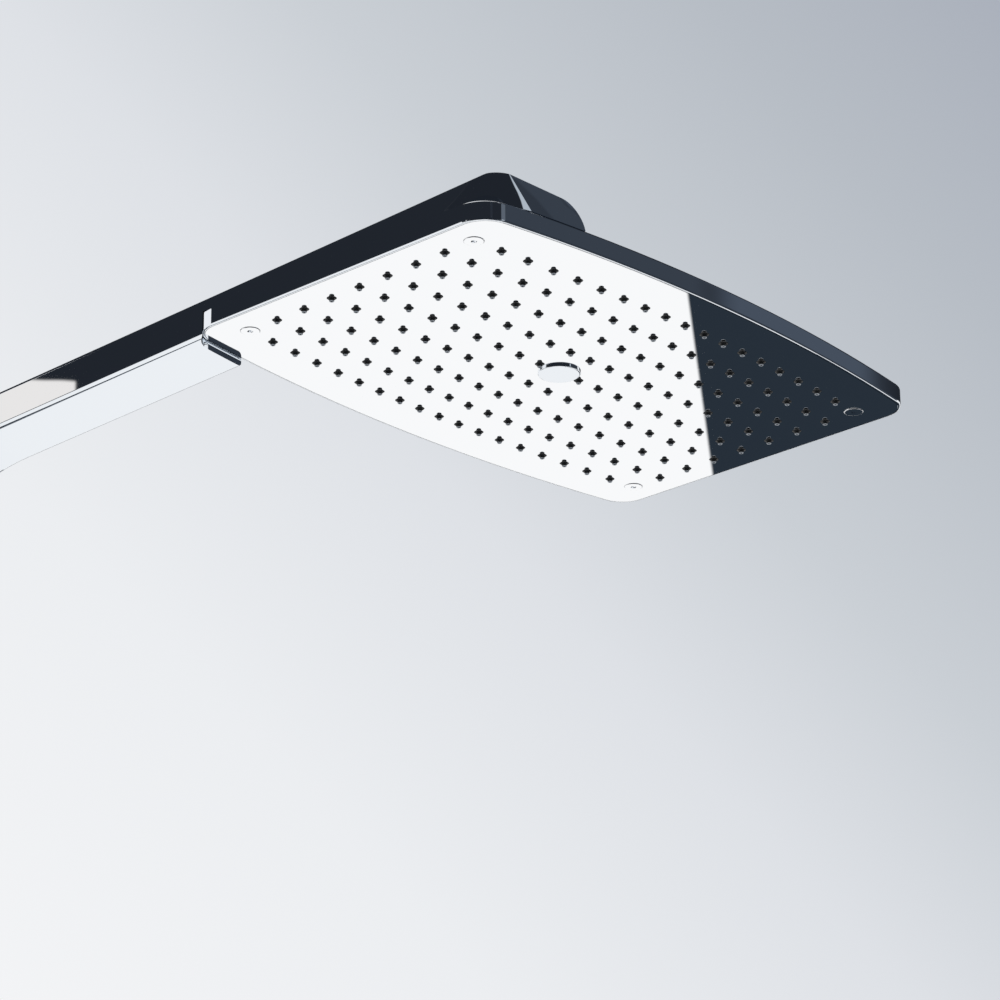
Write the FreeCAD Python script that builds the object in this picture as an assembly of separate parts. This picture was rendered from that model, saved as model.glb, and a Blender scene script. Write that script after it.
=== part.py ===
import FreeCAD, Part
import math
import os

from FreeCAD import Vector

# Shower panel column: a slim wall panel with two controls, a flat-bar arm that rises out of its top and
# bends forward, and a thin rectangular rain head held along its left side under the end of the arm.
#
# Frame (mm): origin on the wall plane, at the middle of the wall plate. +Z up, -Y out into the room,
# +X to the right as seen from the room. The arm runs in the plane X = 0.

# --- panel -------------------------------------------------------------------------------------------
PANEL_W = 150.0          # width of the column housing
PANEL_D = 50.0           # depth from the wall
PANEL_H = 1000.0         # height over both caps
HOUSING_T = 1.5          # sheet thickness of the housing
HOUSING_CORNER = 10.0    # outer radius of the two front edges
CAP_T = 3.0              # thickness of the top and bottom caps
CAP_LIP_H = 6.0          # depth of the lip under a cap
CAP_LIP_T = 1.5          # wall of that lip
CAP_PLAY = 0.1           # play between the lip and the housing
WALL_PLATE_T = 2.0       # sheet thickness of the wall plate
WALL_PLATE_FLANGE = 22.0  # depth of its side flanges
WALL_PLATE_SHORT = 30.0  # how far the wall plate stops short of each end of the panel
WALL_PLATE_PLAY = 0.3    # play between the flanges and the housing
WALL_HOLE_R = 3.5        # holes for the wall screws
WALL_HOLE_X = 50.0       # half their spacing across
WALL_HOLE_END = 40.0     # distance of the holes from the wall plate's ends
HOUSING_SCREW_ROWS = 3   # rows of side screws that hold the housing
HOUSING_SCREW_END = 100.0  # distance of the outer rows from the panel's ends
HOUSING_SCREW_Y = -11.0  # distance of the side screws from the wall
HOUSING_SCREW_L = 9.0    # their length under the head
HOUSING_SCREW_HEAD_R = 3.8
HOUSING_SCREW_HEAD_H = 1.8
HOUSING_SCREW_DOME = 1.2  # rounding of their heads

# --- screws ------------------------------------------------------------------------------------------
M4_R = 2.0
M5_R = 2.5
M4_KEY = 2.5             # sockets of the screws, across flats
M5_CSK_KEY = 3.0
M5_KEY = 4.0
KEY_DEPTH = 1.2          # depth of a socket in a low head
KEY_DEPTH_HIGH = 1.6     # and in a high head
THREAD_PLAY = 0.05       # radial play of a screw in its thread
HOLE_PLAY = 0.15         # radial play of a screw in a plain hole

# --- arm ---------------------------------------------------------------------------------------------
ARM_W = 35.0             # width of the flat bar
ARM_T = 19.0             # thickness of the flat bar
ARM_WALL = 2.5           # wall thickness of the hollow bar
ARM_EDGE_R = 2.0         # rounding of its long edges
ARM_RISE = 1.7           # slope of the straight run, degrees up towards the front
ARM_STRAIGHT = 150.0     # straight run between the bend and the head
BEND_R = 120.0           # inner radius of the bend
LEG_STAND = 38.0         # distance of the leg's front face from the wall
LEG_SHOW = 8.0           # straight leg that shows above the top cap
LEG_IN = 87.0            # straight leg inside the panel
ARM_HOLE_PLAY = 0.5      # gap round the leg in the top cap
ARM_INSET = 1.5          # how far the bar lies inside the head's left side
ARM_DROP = 3.5           # how far its underside lies below the spray face, at the head's rear edge
NOSE_FOOT_R = 34.0       # rounding of the arm's front left corner, in plan, at the tray
NOSE_TOP_R = 10.0        # and at the arm's top
NOSE_TURN = 77.0         # degrees that this rounding turns before it meets the end face
NOSE_INSET = 0.3         # how far the arm's foot stays inside the head's front edge
SADDLE_TOP_X = 25.0      # right end of the saddle's flat top, from the arm's middle
SADDLE_R = 14.0          # rounding of the saddle's right shoulder
SADDLE_START = 15.0      # distance of the saddle's shoulder from the head's rear edge
SADDLE_FLOOR = 1.5       # floor between the water channel and the head, at the head's rear edge
CHANNEL_W = 14.0         # width of the water channel in the saddle
CHANNEL_ROOF = 1.5       # wall above it
CHANNEL_PAST = 15.0      # channel beyond the outlet hole
HOLLOW_STOP = 4.0        # end of the bar's full hollow, behind the head's rear edge
OUTLET_R = 7.0           # outlet hole from the arm into the head
NOTCH_GAP = 0.3          # gap between the arm's notch and the head's rear edge

# --- head --------------------------------------------------------------------------------------------
HEAD_W = 298.0           # width of the head, along the wall
HEAD_END_D = 180.0       # depth at its short sides
HEAD_BOW = 12.5          # how far each long side bows out in the middle
HEAD_H = 9.5             # height of the tray
HEAD_CORNER = 14.5       # corner radius in plan
RIM_W = 1.2              # rim of the tray beside the spray plate
RIM_R = 1.0              # rounding of the rim's lower edge
TRAY_TOP_R = 1.2         # rounding of the tray's upper edge
SEAT_W = 5.0             # distance of the water chamber from the tray's outline
SHELL_TOP = 2.0          # thickness of the tray's roof
SPRAY_T = 1.5            # thickness of the spray plate
SPRAY_PLAY = 0.25        # groove between the spray plate and the rim
MAT_T = 1.5              # thickness of the nozzle mat's sheet
NOZZLE_COLS = 9          # nozzle columns on each side of the middle one
NOZZLE_ROWS = 4          # nozzle rows on each side of the middle one
NOZZLE_SPREAD = 0.093    # how much wider the outer columns stand
NOZZLE_BOW = 0.1076      # how much wider the rows stand in the middle
NOZZLE_MARGIN_X = 16.6   # corner positions from the short sides
NOZZLE_MARGIN_Y = 20.7   # corner positions from the long sides at their ends
NOZZLE_R = 2.2           # nozzle's collar at the spray plate
NOZZLE_COLLAR_R = 1.75   # lower edge of the collar
NOZZLE_COLLAR_H = 0.45   # how far the collar stands out of the spray plate
NOZZLE_STEM_R = 1.35     # stem at the spray plate
NOZZLE_TIP_R = 1.1       # stem at its tip
NOZZLE_DROP = 1.6        # how far the tip stands out of the spray plate
NOZZLE_BORE = 0.6        # radius of the jet hole
NOZZLE_PLAY = 0.1        # play round a nozzle in the spray plate
FACE_SCREW_HEAD_R = 4.5  # flat heads of the corner screws
FACE_SCREW_HEAD_H = 0.9  # depth of their seats in the spray plate
FACE_SCREW_OUT = 0.3     # how far the heads stand out of it
FACE_SCREW_EDGE = 0.25   # rounding of their edges
BOSS_WALL = 3.0          # wall of the bosses for the face screws
INSERT_R = 10.0          # centre insert on the spray face
INSERT_T = 1.2
INSERT_STEM_R = 3.0
HEAD_SCREW_X = 10.4      # screws between head and arm, from the arm's middle
HEAD_SCREW_Y = 30.0      # and in front of and behind the head's middle
HEAD_SCREW_IN = 5.0      # how far they enter the saddle
HEAD_SCREW_HEAD_R = 3.5
HEAD_SCREW_HEAD_H = 2.2
LIMITER_JETS = 6         # jets of the flow limiter
LIMITER_JET_R = 1.2
LIMITER_JET_SHARE = 0.6  # radius of their ring, as a share of the limiter's
LIMITER_STAND = 1.0      # how far the limiter stands above the tray
SEAL_R_IN = 8.2          # seal between head and arm
SEAL_R_OUT = 9.8
SEAL_T = 1.6

# --- arm bracket -------------------------------------------------------------------------------------
BRACKET_W = 60.0
BRACKET_H = 60.0
BRACKET_TOP_GAP = 15.0   # below the top cap
CLAMP_T = 3.0
CLAMP_HEAD_R = 4.5
CLAMP_HEAD_H = 2.6
LEG_PLAY = 0.05          # play between the leg and the bracket
SCREW_PITCH = 30.0       # vertical pitch of the bracket's and the clamp's screws
CLAMP_SCREW_REACH = 14.0  # end of the clamp's screws, from the wall
CLAMP_THREAD_END = 10.0  # and of their threads
BRACKET_SCREW_SHORT = 4.0  # how far the bracket's screws stop short of the leg

# --- water path --------------------------------------------------------------------------------------
FITTING_DEPTH = 18.0     # brazed plug in the foot of the leg
FITTING_FLANGE_T = 2.0   # flange under the foot
FITTING_INSET = 1.0      # how far the flange stays inside the bar's outline
NIPPLE_R = 8.3           # threaded nipples of the riser pipe
NIPPLE_L = 16.0
PIPE_R = 7.0             # riser pipe
PIPE_BORE = 6.0
COLLAR_R = 8.2
COLLAR_T = 2.0
NUT_AF = 22.0            # nuts of the riser pipe, across flats
NUT_H = 14.0
NUT_END_T = 3.0          # end wall of a nut, behind the collar
RISER_SEAL_T = 1.5
RISER_SEAL_INSET = 0.3   # how far these seals stay inside the nipples' outline
WATER_R = 5.0            # bore of the water ways

# --- mixer -------------------------------------------------------------------------------------------
FLOW_Z = -60.0           # flow control, from the middle of the panel
CONTROL_PITCH = 120.0    # temperature control below the flow control
MIXER_W = 48.0
MIXER_END = 40.0         # body beyond each control's axis
MIXER_FRONT = 42.0       # front face, from the wall
MIXER_BACK = 8.0         # rear face, from the wall
MIXER_EDGE_R = 4.0       # rounding of its upright edges
MIXER_SCREW_REACH = 16.0  # end of the mixer's screws, from the wall
MIXER_THREAD_END = 17.0  # and of their threads
FOOT_R = 7.0
FOOT_X = 16.0
FOOT_END = 9.0           # feet from the ends of the body
CAVITY_R = 14.0
CAVITY_BACK = 14.0       # end of a control's cavity, from the wall
INLET_X = 50.0           # hot and cold supply, from the middle
INLET_R = 13.0
INLET_PIPE_R = 10.0
SPIGOT_R = 7.0
SPIGOT_L = 8.0
SUPPLY_R = 10.48         # G 1/2 thread
SUPPLY_L = 12.0
SUPPLY_HOLE_PLAY = 1.0
FILTER_SEAT_R = 9.2      # recess for the filter, behind the thread
FILTER_T = 2.0
FILTER_GAP = 0.3         # in front of the filter
FILTER_HOLE_R = 0.8
FILTER_RING_R = 2.2      # inner ring of six holes; the outer ring has twice the radius and the count
FILTER_RING_HOLES = 6
SPIGOT_SEAL_T = 1.2

# --- controls ----------------------------------------------------------------------------------------
CONTROL_HOLE_R = 18.5    # holes in the front of the housing
CARTRIDGE_PLAY = 0.1
CARTRIDGE_AF = 31.0
CARTRIDGE_HEX_T = 6.0
NECK_R = 9.0
NECK_END = 56.0          # front of the cartridge's neck, from the wall
POCKET_R = 11.0          # pocket behind the spindle
POCKET_END = 30.0        # front of that pocket, from the wall
PORT_R = 4.0             # water ports in a cartridge's wall
PORT_OFFSET = 1.0        # how far they sit in front of the pocket's middle
SPINDLE_R = 4.0
SPINDLE_PLAY = 0.05
SPINDLE_END = 70.0       # front of the spindle, from the wall
SPINDLE_THREAD_L = 8.0   # depth of the thread for the knob's screw
SPINDLE_FLANGE_R = 6.0
DISC_SEAT = 2.0          # ceramic discs in front of the cavity's end
DISC_T = 4.0
DISC_GAP = 0.3
WAX_END = 1.0            # rear end of the wax element, in front of the cavity's end
WAX_GUIDE_T = 2.0        # its guide disc
COLLAR_FLANGE_R = 27.0
COLLAR_FLANGE_T = 3.0
COLLAR_LIP_T = 1.8
KNOB_R = 25.0
KNOB_L = 28.4
KNOB_GAP = 0.6           # between knob and collar
KNOB_WALL = 3.0
KNOB_FRONT = 3.0
KNOB_EDGE_R = 1.5
HUB_R = 8.0
HUB_GAP = 1.0
KNOB_SCREW_HEAD_R = 3.6
KNOB_SCREW_HEAD_H = 3.0
KNOB_SCREW_PLAY = 0.2    # between its head and the cap
KNOB_SCREW_SHORT = 1.0   # how far it stops short of its thread's end
KNOB_CAP_R = 6.0
KNOB_CAP_T = 1.8
KNOB_CAP_EDGE_R = 0.5
BUTTON_R = 3.5
BUTTON_EDGE_R = 0.8
BUTTON_BASE_R = 4.8
BUTTON_BASE_T = 3.0
BUTTON_OUT = 2.0         # how far the button stands out of the knob
BUTTON_PLAY = 0.08
BUTTON_SEAT_GAP = 0.3
SPRING_WIRE_R = 0.35
SPRING_R = 3.0
SPRING_TURNS = 5

# --- places that follow from the sizes ---------------------------------------------------------------
TOP = PANEL_H / 2.0
BOTTOM = -PANEL_H / 2.0
RISE = math.radians(ARM_RISE)
HEAD_X = HEAD_W / 2.0 - ARM_INSET - ARM_W / 2.0
BEND_Y = -LEG_STAND - BEND_R
BEND_Z = TOP + LEG_SHOW


def half_depth(x_from_middle):
    """Half the head's depth at a distance from its middle, on the bowed long side."""
    half = HEAD_W / 2.0
    bow_r = (half * half + HEAD_BOW * HEAD_BOW) / (2.0 * HEAD_BOW)
    middle = HEAD_END_D / 2.0 + HEAD_BOW
    return middle - bow_r + math.sqrt(bow_r * bow_r - x_from_middle * x_from_middle)


def bend_point(radius, angle):
    """Point of the bend in the arm's plane, at an angle up from the front-back axis."""
    return Vector(0, BEND_Y + radius * math.cos(angle), BEND_Z + radius * math.sin(angle))


ARM_START = bend_point(BEND_R, math.pi / 2.0 - RISE)
SPRAY_Z = ARM_START.z + ARM_STRAIGHT * math.tan(RISE) + ARM_DROP
HEAD_Y = ARM_START.y - ARM_STRAIGHT - half_depth(HEAD_X)
TRAY_TOP = SPRAY_Z + HEAD_H
CHAMBER_TOP = TRAY_TOP - SHELL_TOP
MAT_TOP = SPRAY_Z + SPRAY_T + MAT_T
ARM_END_Y = HEAD_Y - HEAD_END_D / 2.0 - HEAD_BOW
RISER_Y = -LEG_STAND + ARM_T / 2.0
LEG_BOTTOM = TOP - LEG_IN
TEMP_Z = FLOW_Z - CONTROL_PITCH
HOUSING_TOP = TOP - CAP_T
HOUSING_BOTTOM = BOTTOM + CAP_T
INNER_W = PANEL_W - 2.0 * HOUSING_T
FRONT = -PANEL_D
KNOB_BACK = FRONT - COLLAR_FLANGE_T - KNOB_GAP
KNOB_FACE = KNOB_BACK - KNOB_L
BUTTON_Y = KNOB_BACK - KNOB_L / 2.0


# --- plain solids ------------------------------------------------------------------------------------
def box(x0, x1, y0, y1, z0, z1):
    return Part.makeBox(x1 - x0, y1 - y0, z1 - z0, Vector(x0, y0, z0))


def rod_x(y, z, radius, x0, x1):
    return Part.makeCylinder(radius, x1 - x0, Vector(x0, y, z), Vector(1, 0, 0))


def rod_y(x, z, radius, y0, y1):
    return Part.makeCylinder(radius, y1 - y0, Vector(x, y0, z), Vector(0, 1, 0))


def rod_z(x, y, radius, z0, z1):
    return Part.makeCylinder(radius, z1 - z0, Vector(x, y, z0), Vector(0, 0, 1))


def cone_y(x, z, r0, r1, y0, y1):
    return Part.makeCone(r0, r1, y1 - y0, Vector(x, y0, z), Vector(0, 1, 0))


def hex_prism(across_flats, length, place, along):
    """Hexagonal bar that starts at a place and runs along a direction."""
    corner = across_flats / math.sqrt(3.0)
    turns = [math.radians(60.0 * i) for i in range(6)]
    ring = [Vector(corner * math.cos(a), corner * math.sin(a), 0) for a in turns]
    prism = Part.Face(Part.makePolygon(ring + ring[:1])).extrude(Vector(0, 0, length))
    prism.Placement = FreeCAD.Placement(place, FreeCAD.Rotation(Vector(0, 0, 1), along))
    return prism


def straight_edges(shape, keep):
    """Edges of a shape for which a test of the edge's bounding box holds."""
    return [edge for edge in shape.Edges if keep(edge.BoundBox)]


def joined(pieces):
    """One fused solid from overlapping pieces, without seams between flush faces."""
    return pieces[0].fuse(pieces[1:]).removeSplitter()


def group(pieces):
    return Part.makeCompound(pieces)


def arc(start, middle, end):
    return Part.Arc(start, middle, end).toShape()


def line(start, end):
    return Part.LineSegment(start, end).toShape()


# --- panel pieces ------------------------------------------------------------------------------------
def panel_block(inset, z0, z1):
    """Block with the panel's outline in plan, smaller by an inset on every side but the wall's."""
    half = PANEL_W / 2.0 - inset
    block = box(-half, half, FRONT + inset, 0.0, z0, z1)
    corners = straight_edges(block, lambda b: b.ZLength > 1.0 and b.YMax < FRONT + inset + 0.1
                             and b.XLength < 0.1)
    return block.makeFillet(HOUSING_CORNER - inset, corners)


def housing_screw_heights():
    span = PANEL_H - 2.0 * HOUSING_SCREW_END
    step = span / (HOUSING_SCREW_ROWS - 1)
    return [BOTTOM + HOUSING_SCREW_END + step * i for i in range(HOUSING_SCREW_ROWS)]


def column_housing():
    shell = panel_block(0.0, HOUSING_BOTTOM, HOUSING_TOP)
    inside = panel_block(HOUSING_T, HOUSING_BOTTOM - 1.0, HOUSING_TOP + 1.0)
    inside = inside.fuse(box(-INNER_W / 2.0, INNER_W / 2.0, -1.0, 1.0,
                             HOUSING_BOTTOM - 1.0, HOUSING_TOP + 1.0))
    shell = shell.cut(inside)
    for z in (FLOW_Z, TEMP_Z):
        shell = shell.cut(rod_y(0.0, z, CONTROL_HOLE_R, FRONT - 1.0, FRONT + HOUSING_T + 1.0))
    for z in housing_screw_heights():
        shell = shell.cut(rod_x(HOUSING_SCREW_Y, z, M4_R + HOLE_PLAY, -PANEL_W, PANEL_W))
    return shell


def housing_screws():
    screws = []
    for z in housing_screw_heights():
        for side in (-1.0, 1.0):
            outer = side * PANEL_W / 2.0
            inner = side * (PANEL_W / 2.0 - HOUSING_SCREW_L)
            shank = rod_x(HOUSING_SCREW_Y, z, M4_R, min(outer, inner), max(outer, inner))
            head_end = outer + side * HOUSING_SCREW_HEAD_H
            head = rod_x(HOUSING_SCREW_Y, z, HOUSING_SCREW_HEAD_R, min(outer, head_end), max(outer, head_end))
            rim = straight_edges(head, lambda b: b.XLength < 0.01 and abs(b.XMin - head_end) < 0.01)
            head = head.makeFillet(HOUSING_SCREW_DOME, rim)
            socket = hex_prism(M4_KEY, KEY_DEPTH, Vector(head_end, HOUSING_SCREW_Y, z), Vector(-side, 0, 0))
            screws.append(shank.fuse(head).cut(socket))
    return group(screws)


def wall_plate():
    half = INNER_W / 2.0 - WALL_PLATE_PLAY
    z0 = BOTTOM + WALL_PLATE_SHORT
    z1 = TOP - WALL_PLATE_SHORT
    plate = box(-half, half, -WALL_PLATE_FLANGE, 0.0, z0, z1)
    plate = plate.cut(box(-half + WALL_PLATE_T, half - WALL_PLATE_T, -WALL_PLATE_FLANGE - 1.0,
                          -WALL_PLATE_T, z0 - 1.0, z1 + 1.0))
    holes = []
    for x, z in wall_hole_places():
        holes.append(rod_y(x, z, WALL_HOLE_R, -WALL_PLATE_T - 1.0, 1.0))
    for side in (-1.0, 1.0):
        holes.append(rod_y(side * INLET_X, TEMP_Z, INLET_R + SUPPLY_HOLE_PLAY, -WALL_PLATE_T - 1.0, 1.0))
    for x, z in mixer_screw_places() + bracket_screw_places():
        holes.append(rod_y(x, z, M5_R + HOLE_PLAY, -WALL_PLATE_T - 1.0, 1.0))
        holes.append(cone_y(x, z, M5_R + HOLE_PLAY, M5_R + HOLE_PLAY + WALL_PLATE_T, -WALL_PLATE_T, 0.0))
    for z in housing_screw_heights():
        holes.append(rod_x(HOUSING_SCREW_Y, z, M4_R + THREAD_PLAY, -PANEL_W, PANEL_W))
    return plate.cut(holes)


def wall_hole_places():
    z = TOP - WALL_PLATE_SHORT - WALL_HOLE_END
    return [(x, s * z) for x in (-WALL_HOLE_X, WALL_HOLE_X) for s in (-1.0, 1.0)]


def cap_lip(z0, z1):
    outer = panel_block(HOUSING_T + CAP_PLAY, z0, z1)
    return outer.cut(panel_block(HOUSING_T + CAP_PLAY + CAP_LIP_T, z0 - 1.0, z1 + 1.0).cut(
        box(-PANEL_W, PANEL_W, -CAP_LIP_T, 1.0, z0 - 2.0, z1 + 2.0)))


def top_cap():
    cap = joined([panel_block(0.0, HOUSING_TOP, TOP), cap_lip(HOUSING_TOP - CAP_LIP_H, HOUSING_TOP)])
    half = ARM_W / 2.0 + ARM_HOLE_PLAY
    hole = box(-half, half, -LEG_STAND - ARM_HOLE_PLAY, -LEG_STAND + ARM_T + ARM_HOLE_PLAY,
               HOUSING_TOP - 1.0, TOP + 1.0)
    corners = straight_edges(hole, lambda b: b.ZLength > 1.0 and b.XLength + b.YLength < 0.1)
    return cap.cut(hole.makeFillet(ARM_EDGE_R + ARM_HOLE_PLAY, corners))


def bottom_cap():
    return joined([panel_block(0.0, BOTTOM, HOUSING_BOTTOM),
                   cap_lip(HOUSING_BOTTOM, HOUSING_BOTTOM + CAP_LIP_H)])


# --- arm ---------------------------------------------------------------------------------------------
def arm_height(y):
    """Height of the straight run's underside at a distance from the wall."""
    return ARM_START.z + (ARM_START.y - y) * math.tan(RISE)


def bar_profile(inset, end_y, foot_z):
    """Side view of the bar, smaller by an inset: foot, leg, bend and straight run to a plain end."""
    low_r = BEND_R + inset
    high_r = BEND_R + ARM_T - inset
    steep = math.pi / 2.0 - RISE
    half_way = steep / 2.0
    low_end = Vector(0, end_y, arm_height(end_y) + inset / math.cos(RISE))
    high_end = Vector(0, end_y, arm_height(end_y) + (ARM_T - inset) / math.cos(RISE))
    low_foot = Vector(0, BEND_Y + low_r, foot_z)
    high_foot = Vector(0, BEND_Y + high_r, foot_z)
    edges = [line(low_foot, bend_point(low_r, 0.0)),
             arc(bend_point(low_r, 0.0), bend_point(low_r, half_way), bend_point(low_r, steep)),
             line(bend_point(low_r, steep), low_end),
             line(low_end, high_end),
             line(high_end, bend_point(high_r, steep)),
             arc(bend_point(high_r, steep), bend_point(high_r, half_way), bend_point(high_r, 0.0)),
             line(bend_point(high_r, 0.0), high_foot),
             line(high_foot, low_foot)]
    return Part.Face(Part.Wire(edges))


def across(face, half_width):
    """Solid from a side view, between two planes on either side of the arm's middle plane."""
    face.translate(Vector(-half_width, 0, 0))
    return face.extrude(Vector(2.0 * half_width, 0, 0))


def foot_front(x):
    """Front edge of the arm's foot on the head, at a distance from the arm's middle."""
    return HEAD_Y - half_depth(HEAD_X - x) + NOSE_INSET


def bar_solid():
    """The whole bar, with its long edges rounded."""
    bar = across(bar_profile(0.0, ARM_END_Y, LEG_BOTTOM), ARM_W / 2.0)
    long_edges = straight_edges(bar, lambda b: b.XLength < 1e-4 and b.ZMax > LEG_BOTTOM + 1.0
                                and b.YLength > 1.0)
    return bar.makeFillet(ARM_EDGE_R, long_edges)


def shoulder_solid():
    """Rounded shoulder that widens the bar to the right above the head."""
    start_y = HEAD_Y + half_depth(HEAD_X) - SADDLE_START
    top = arm_height(start_y) + ARM_T / math.cos(RISE)
    right = SADDLE_TOP_X + SADDLE_R
    low = top - SADDLE_R - HEAD_H
    turn = math.radians(45.0)
    bulge = Vector(SADDLE_TOP_X + SADDLE_R * math.sin(turn), start_y, top - SADDLE_R * (1.0 - math.cos(turn)))
    edges = [line(Vector(0, start_y, top), Vector(SADDLE_TOP_X, start_y, top)),
             arc(Vector(SADDLE_TOP_X, start_y, top), bulge, Vector(right, start_y, top - SADDLE_R)),
             line(Vector(right, start_y, top - SADDLE_R), Vector(right, start_y, low)),
             line(Vector(right, start_y, low), Vector(0, start_y, low)),
             line(Vector(0, start_y, low), Vector(0, start_y, top))]
    length = start_y - ARM_END_Y
    return Part.Face(Part.Wire(edges)).extrude(Vector(0, -length, length * math.tan(RISE)))


def nose_outline(radius, front, z):
    """Plan of the arm's front end at a height: rounded left corner, front edge, then round the outside."""
    side = -ARM_W / 2.0
    turn = math.radians(NOSE_TURN)
    right = 2.0 * (SADDLE_TOP_X + SADDLE_R)
    back = HEAD_Y + ARM_W
    crest_x = side + radius * (1.0 - math.cos(turn))
    crest = Vector(crest_x, front(crest_x), z)
    centre = crest + Vector(radius * math.cos(turn), radius * math.sin(turn), 0)
    start = centre - Vector(radius, 0, 0)
    bulge = centre - Vector(radius * math.cos(turn / 2.0), radius * math.sin(turn / 2.0), 0)
    middle_x = (crest_x + right) / 2.0
    middle = Vector(middle_x, front(middle_x), z)
    end = Vector(right, front(right), z)
    straight = abs(middle.y - (crest.y + end.y) / 2.0) < 1e-6
    edge = line(crest, end) if straight else arc(crest, middle, end)
    far = [end, Vector(right, back, z), Vector(2.0 * side, back, z), Vector(2.0 * side, start.y, z), start]
    return Part.Wire([arc(start, bulge, crest), edge] + [line(a, b) for a, b in zip(far, far[1:])])


def nose_space():
    """Space inside the arm's rounded front end: its foot follows the head's edge, its top is straight."""
    top_y = foot_front(SADDLE_TOP_X)
    foot = nose_outline(NOSE_FOOT_R, foot_front, TRAY_TOP - 1.0)
    top = nose_outline(NOSE_TOP_R, lambda x: top_y, arm_height(ARM_END_Y) + ARM_T + 1.0)
    return Part.makeLoft([foot, top], True, True)


def arm_channel():
    """Water way: the hollow of the bar, then a low channel along the saddle's roof, then the outlet."""
    rear = HEAD_Y + half_depth(HEAD_X)
    behind = rear + HOLLOW_STOP
    hollow = across(bar_profile(ARM_WALL, behind, LEG_BOTTOM - 1.0), ARM_W / 2.0 - ARM_WALL)
    start_y = behind + 10.0
    end_y = HEAD_Y - CHANNEL_PAST
    low = TRAY_TOP + SADDLE_FLOOR - arm_height(rear)
    high = (ARM_T - CHANNEL_ROOF) / math.cos(RISE)
    corners = [Vector(0, start_y, arm_height(start_y) + low), Vector(0, end_y, arm_height(end_y) + low),
               Vector(0, end_y, arm_height(end_y) + high), Vector(0, start_y, arm_height(start_y) + high)]
    channel = across(Part.Face(Part.makePolygon(corners + corners[:1])), CHANNEL_W / 2.0)
    outlet = rod_z(0.0, HEAD_Y, OUTLET_R, TRAY_TOP - 1.0, arm_height(HEAD_Y) + low + 0.5)
    return joined([hollow, channel, outlet])


def arm():
    body = bar_solid().fuse(shoulder_solid()).removeSplitter()
    tray_space = head_block(-NOTCH_GAP, SPRAY_Z - 2.0 * ARM_T, TRAY_TOP)
    body = body.cut(tray_space)
    reach = box(-HEAD_W, HEAD_W, ARM_END_Y - ARM_W, HEAD_Y, SPRAY_Z - 2.0 * ARM_T, TRAY_TOP + 2.0 * ARM_T)
    body = body.cut(reach.cut(nose_space()))
    seal_groove = rod_z(0.0, HEAD_Y, SEAL_R_OUT, TRAY_TOP, TRAY_TOP + SEAL_T).cut(
        rod_z(0.0, HEAD_Y, SEAL_R_IN, TRAY_TOP, TRAY_TOP + SEAL_T))
    body = body.cut([arm_channel(), seal_groove])
    for x, y in head_screw_places():
        body = body.cut(rod_z(x, y, M4_R + THREAD_PLAY, TRAY_TOP - 1.0, TRAY_TOP + HEAD_SCREW_IN + 0.5))
    return body


# --- head --------------------------------------------------------------------------------------------
def head_block(inset, z0, z1):
    """Block with the head's outline in plan, smaller by an inset all round."""
    half_w = HEAD_W / 2.0 - inset
    end = half_depth(half_w if inset > 0 else HEAD_W / 2.0) - inset
    middle = HEAD_END_D / 2.0 + HEAD_BOW - inset
    left, right = HEAD_X - half_w, HEAD_X + half_w
    back_left = Vector(left, HEAD_Y + end, z0)
    back_right = Vector(right, HEAD_Y + end, z0)
    front_left = Vector(left, HEAD_Y - end, z0)
    front_right = Vector(right, HEAD_Y - end, z0)
    edges = [arc(back_left, Vector(HEAD_X, HEAD_Y + middle, z0), back_right),
             line(back_right, front_right),
             arc(front_right, Vector(HEAD_X, HEAD_Y - middle, z0), front_left),
             line(front_left, back_left)]
    block = Part.Face(Part.Wire(edges)).extrude(Vector(0, 0, z1 - z0))
    corners = straight_edges(block, lambda b: b.XLength + b.YLength < 0.1)
    return block.makeFillet(max(HEAD_CORNER - inset, 1.0), corners)


def nozzle_grid():
    """Every position of the spray face's grid, as column, row and place."""
    half_u = HEAD_W / 2.0 - NOZZLE_MARGIN_X
    half_v = HEAD_END_D / 2.0 - NOZZLE_MARGIN_Y
    places = []
    for column in range(-NOZZLE_COLS, NOZZLE_COLS + 1):
        t = column / NOZZLE_COLS
        u = half_u * t * (1.0 - NOZZLE_SPREAD + NOZZLE_SPREAD * abs(t))
        swell = 1.0 + NOZZLE_BOW * (1.0 - t * t)
        for row in range(-NOZZLE_ROWS, NOZZLE_ROWS + 1):
            places.append((column, row, HEAD_X + u, HEAD_Y + half_v * swell * row / NOZZLE_ROWS))
    return places


def is_corner(column, row):
    return abs(column) == NOZZLE_COLS and abs(row) == NOZZLE_ROWS


def nozzle_places():
    return [(x, y) for c, r, x, y in nozzle_grid() if not is_corner(c, r) and (c, r) != (0, 0)]


def face_screw_places():
    return [(x, y) for c, r, x, y in nozzle_grid() if is_corner(c, r)]


def head_screw_places():
    return [(sx * HEAD_SCREW_X, HEAD_Y + sy * HEAD_SCREW_Y) for sx in (-1.0, 1.0) for sy in (-1.0, 1.0)]


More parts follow.
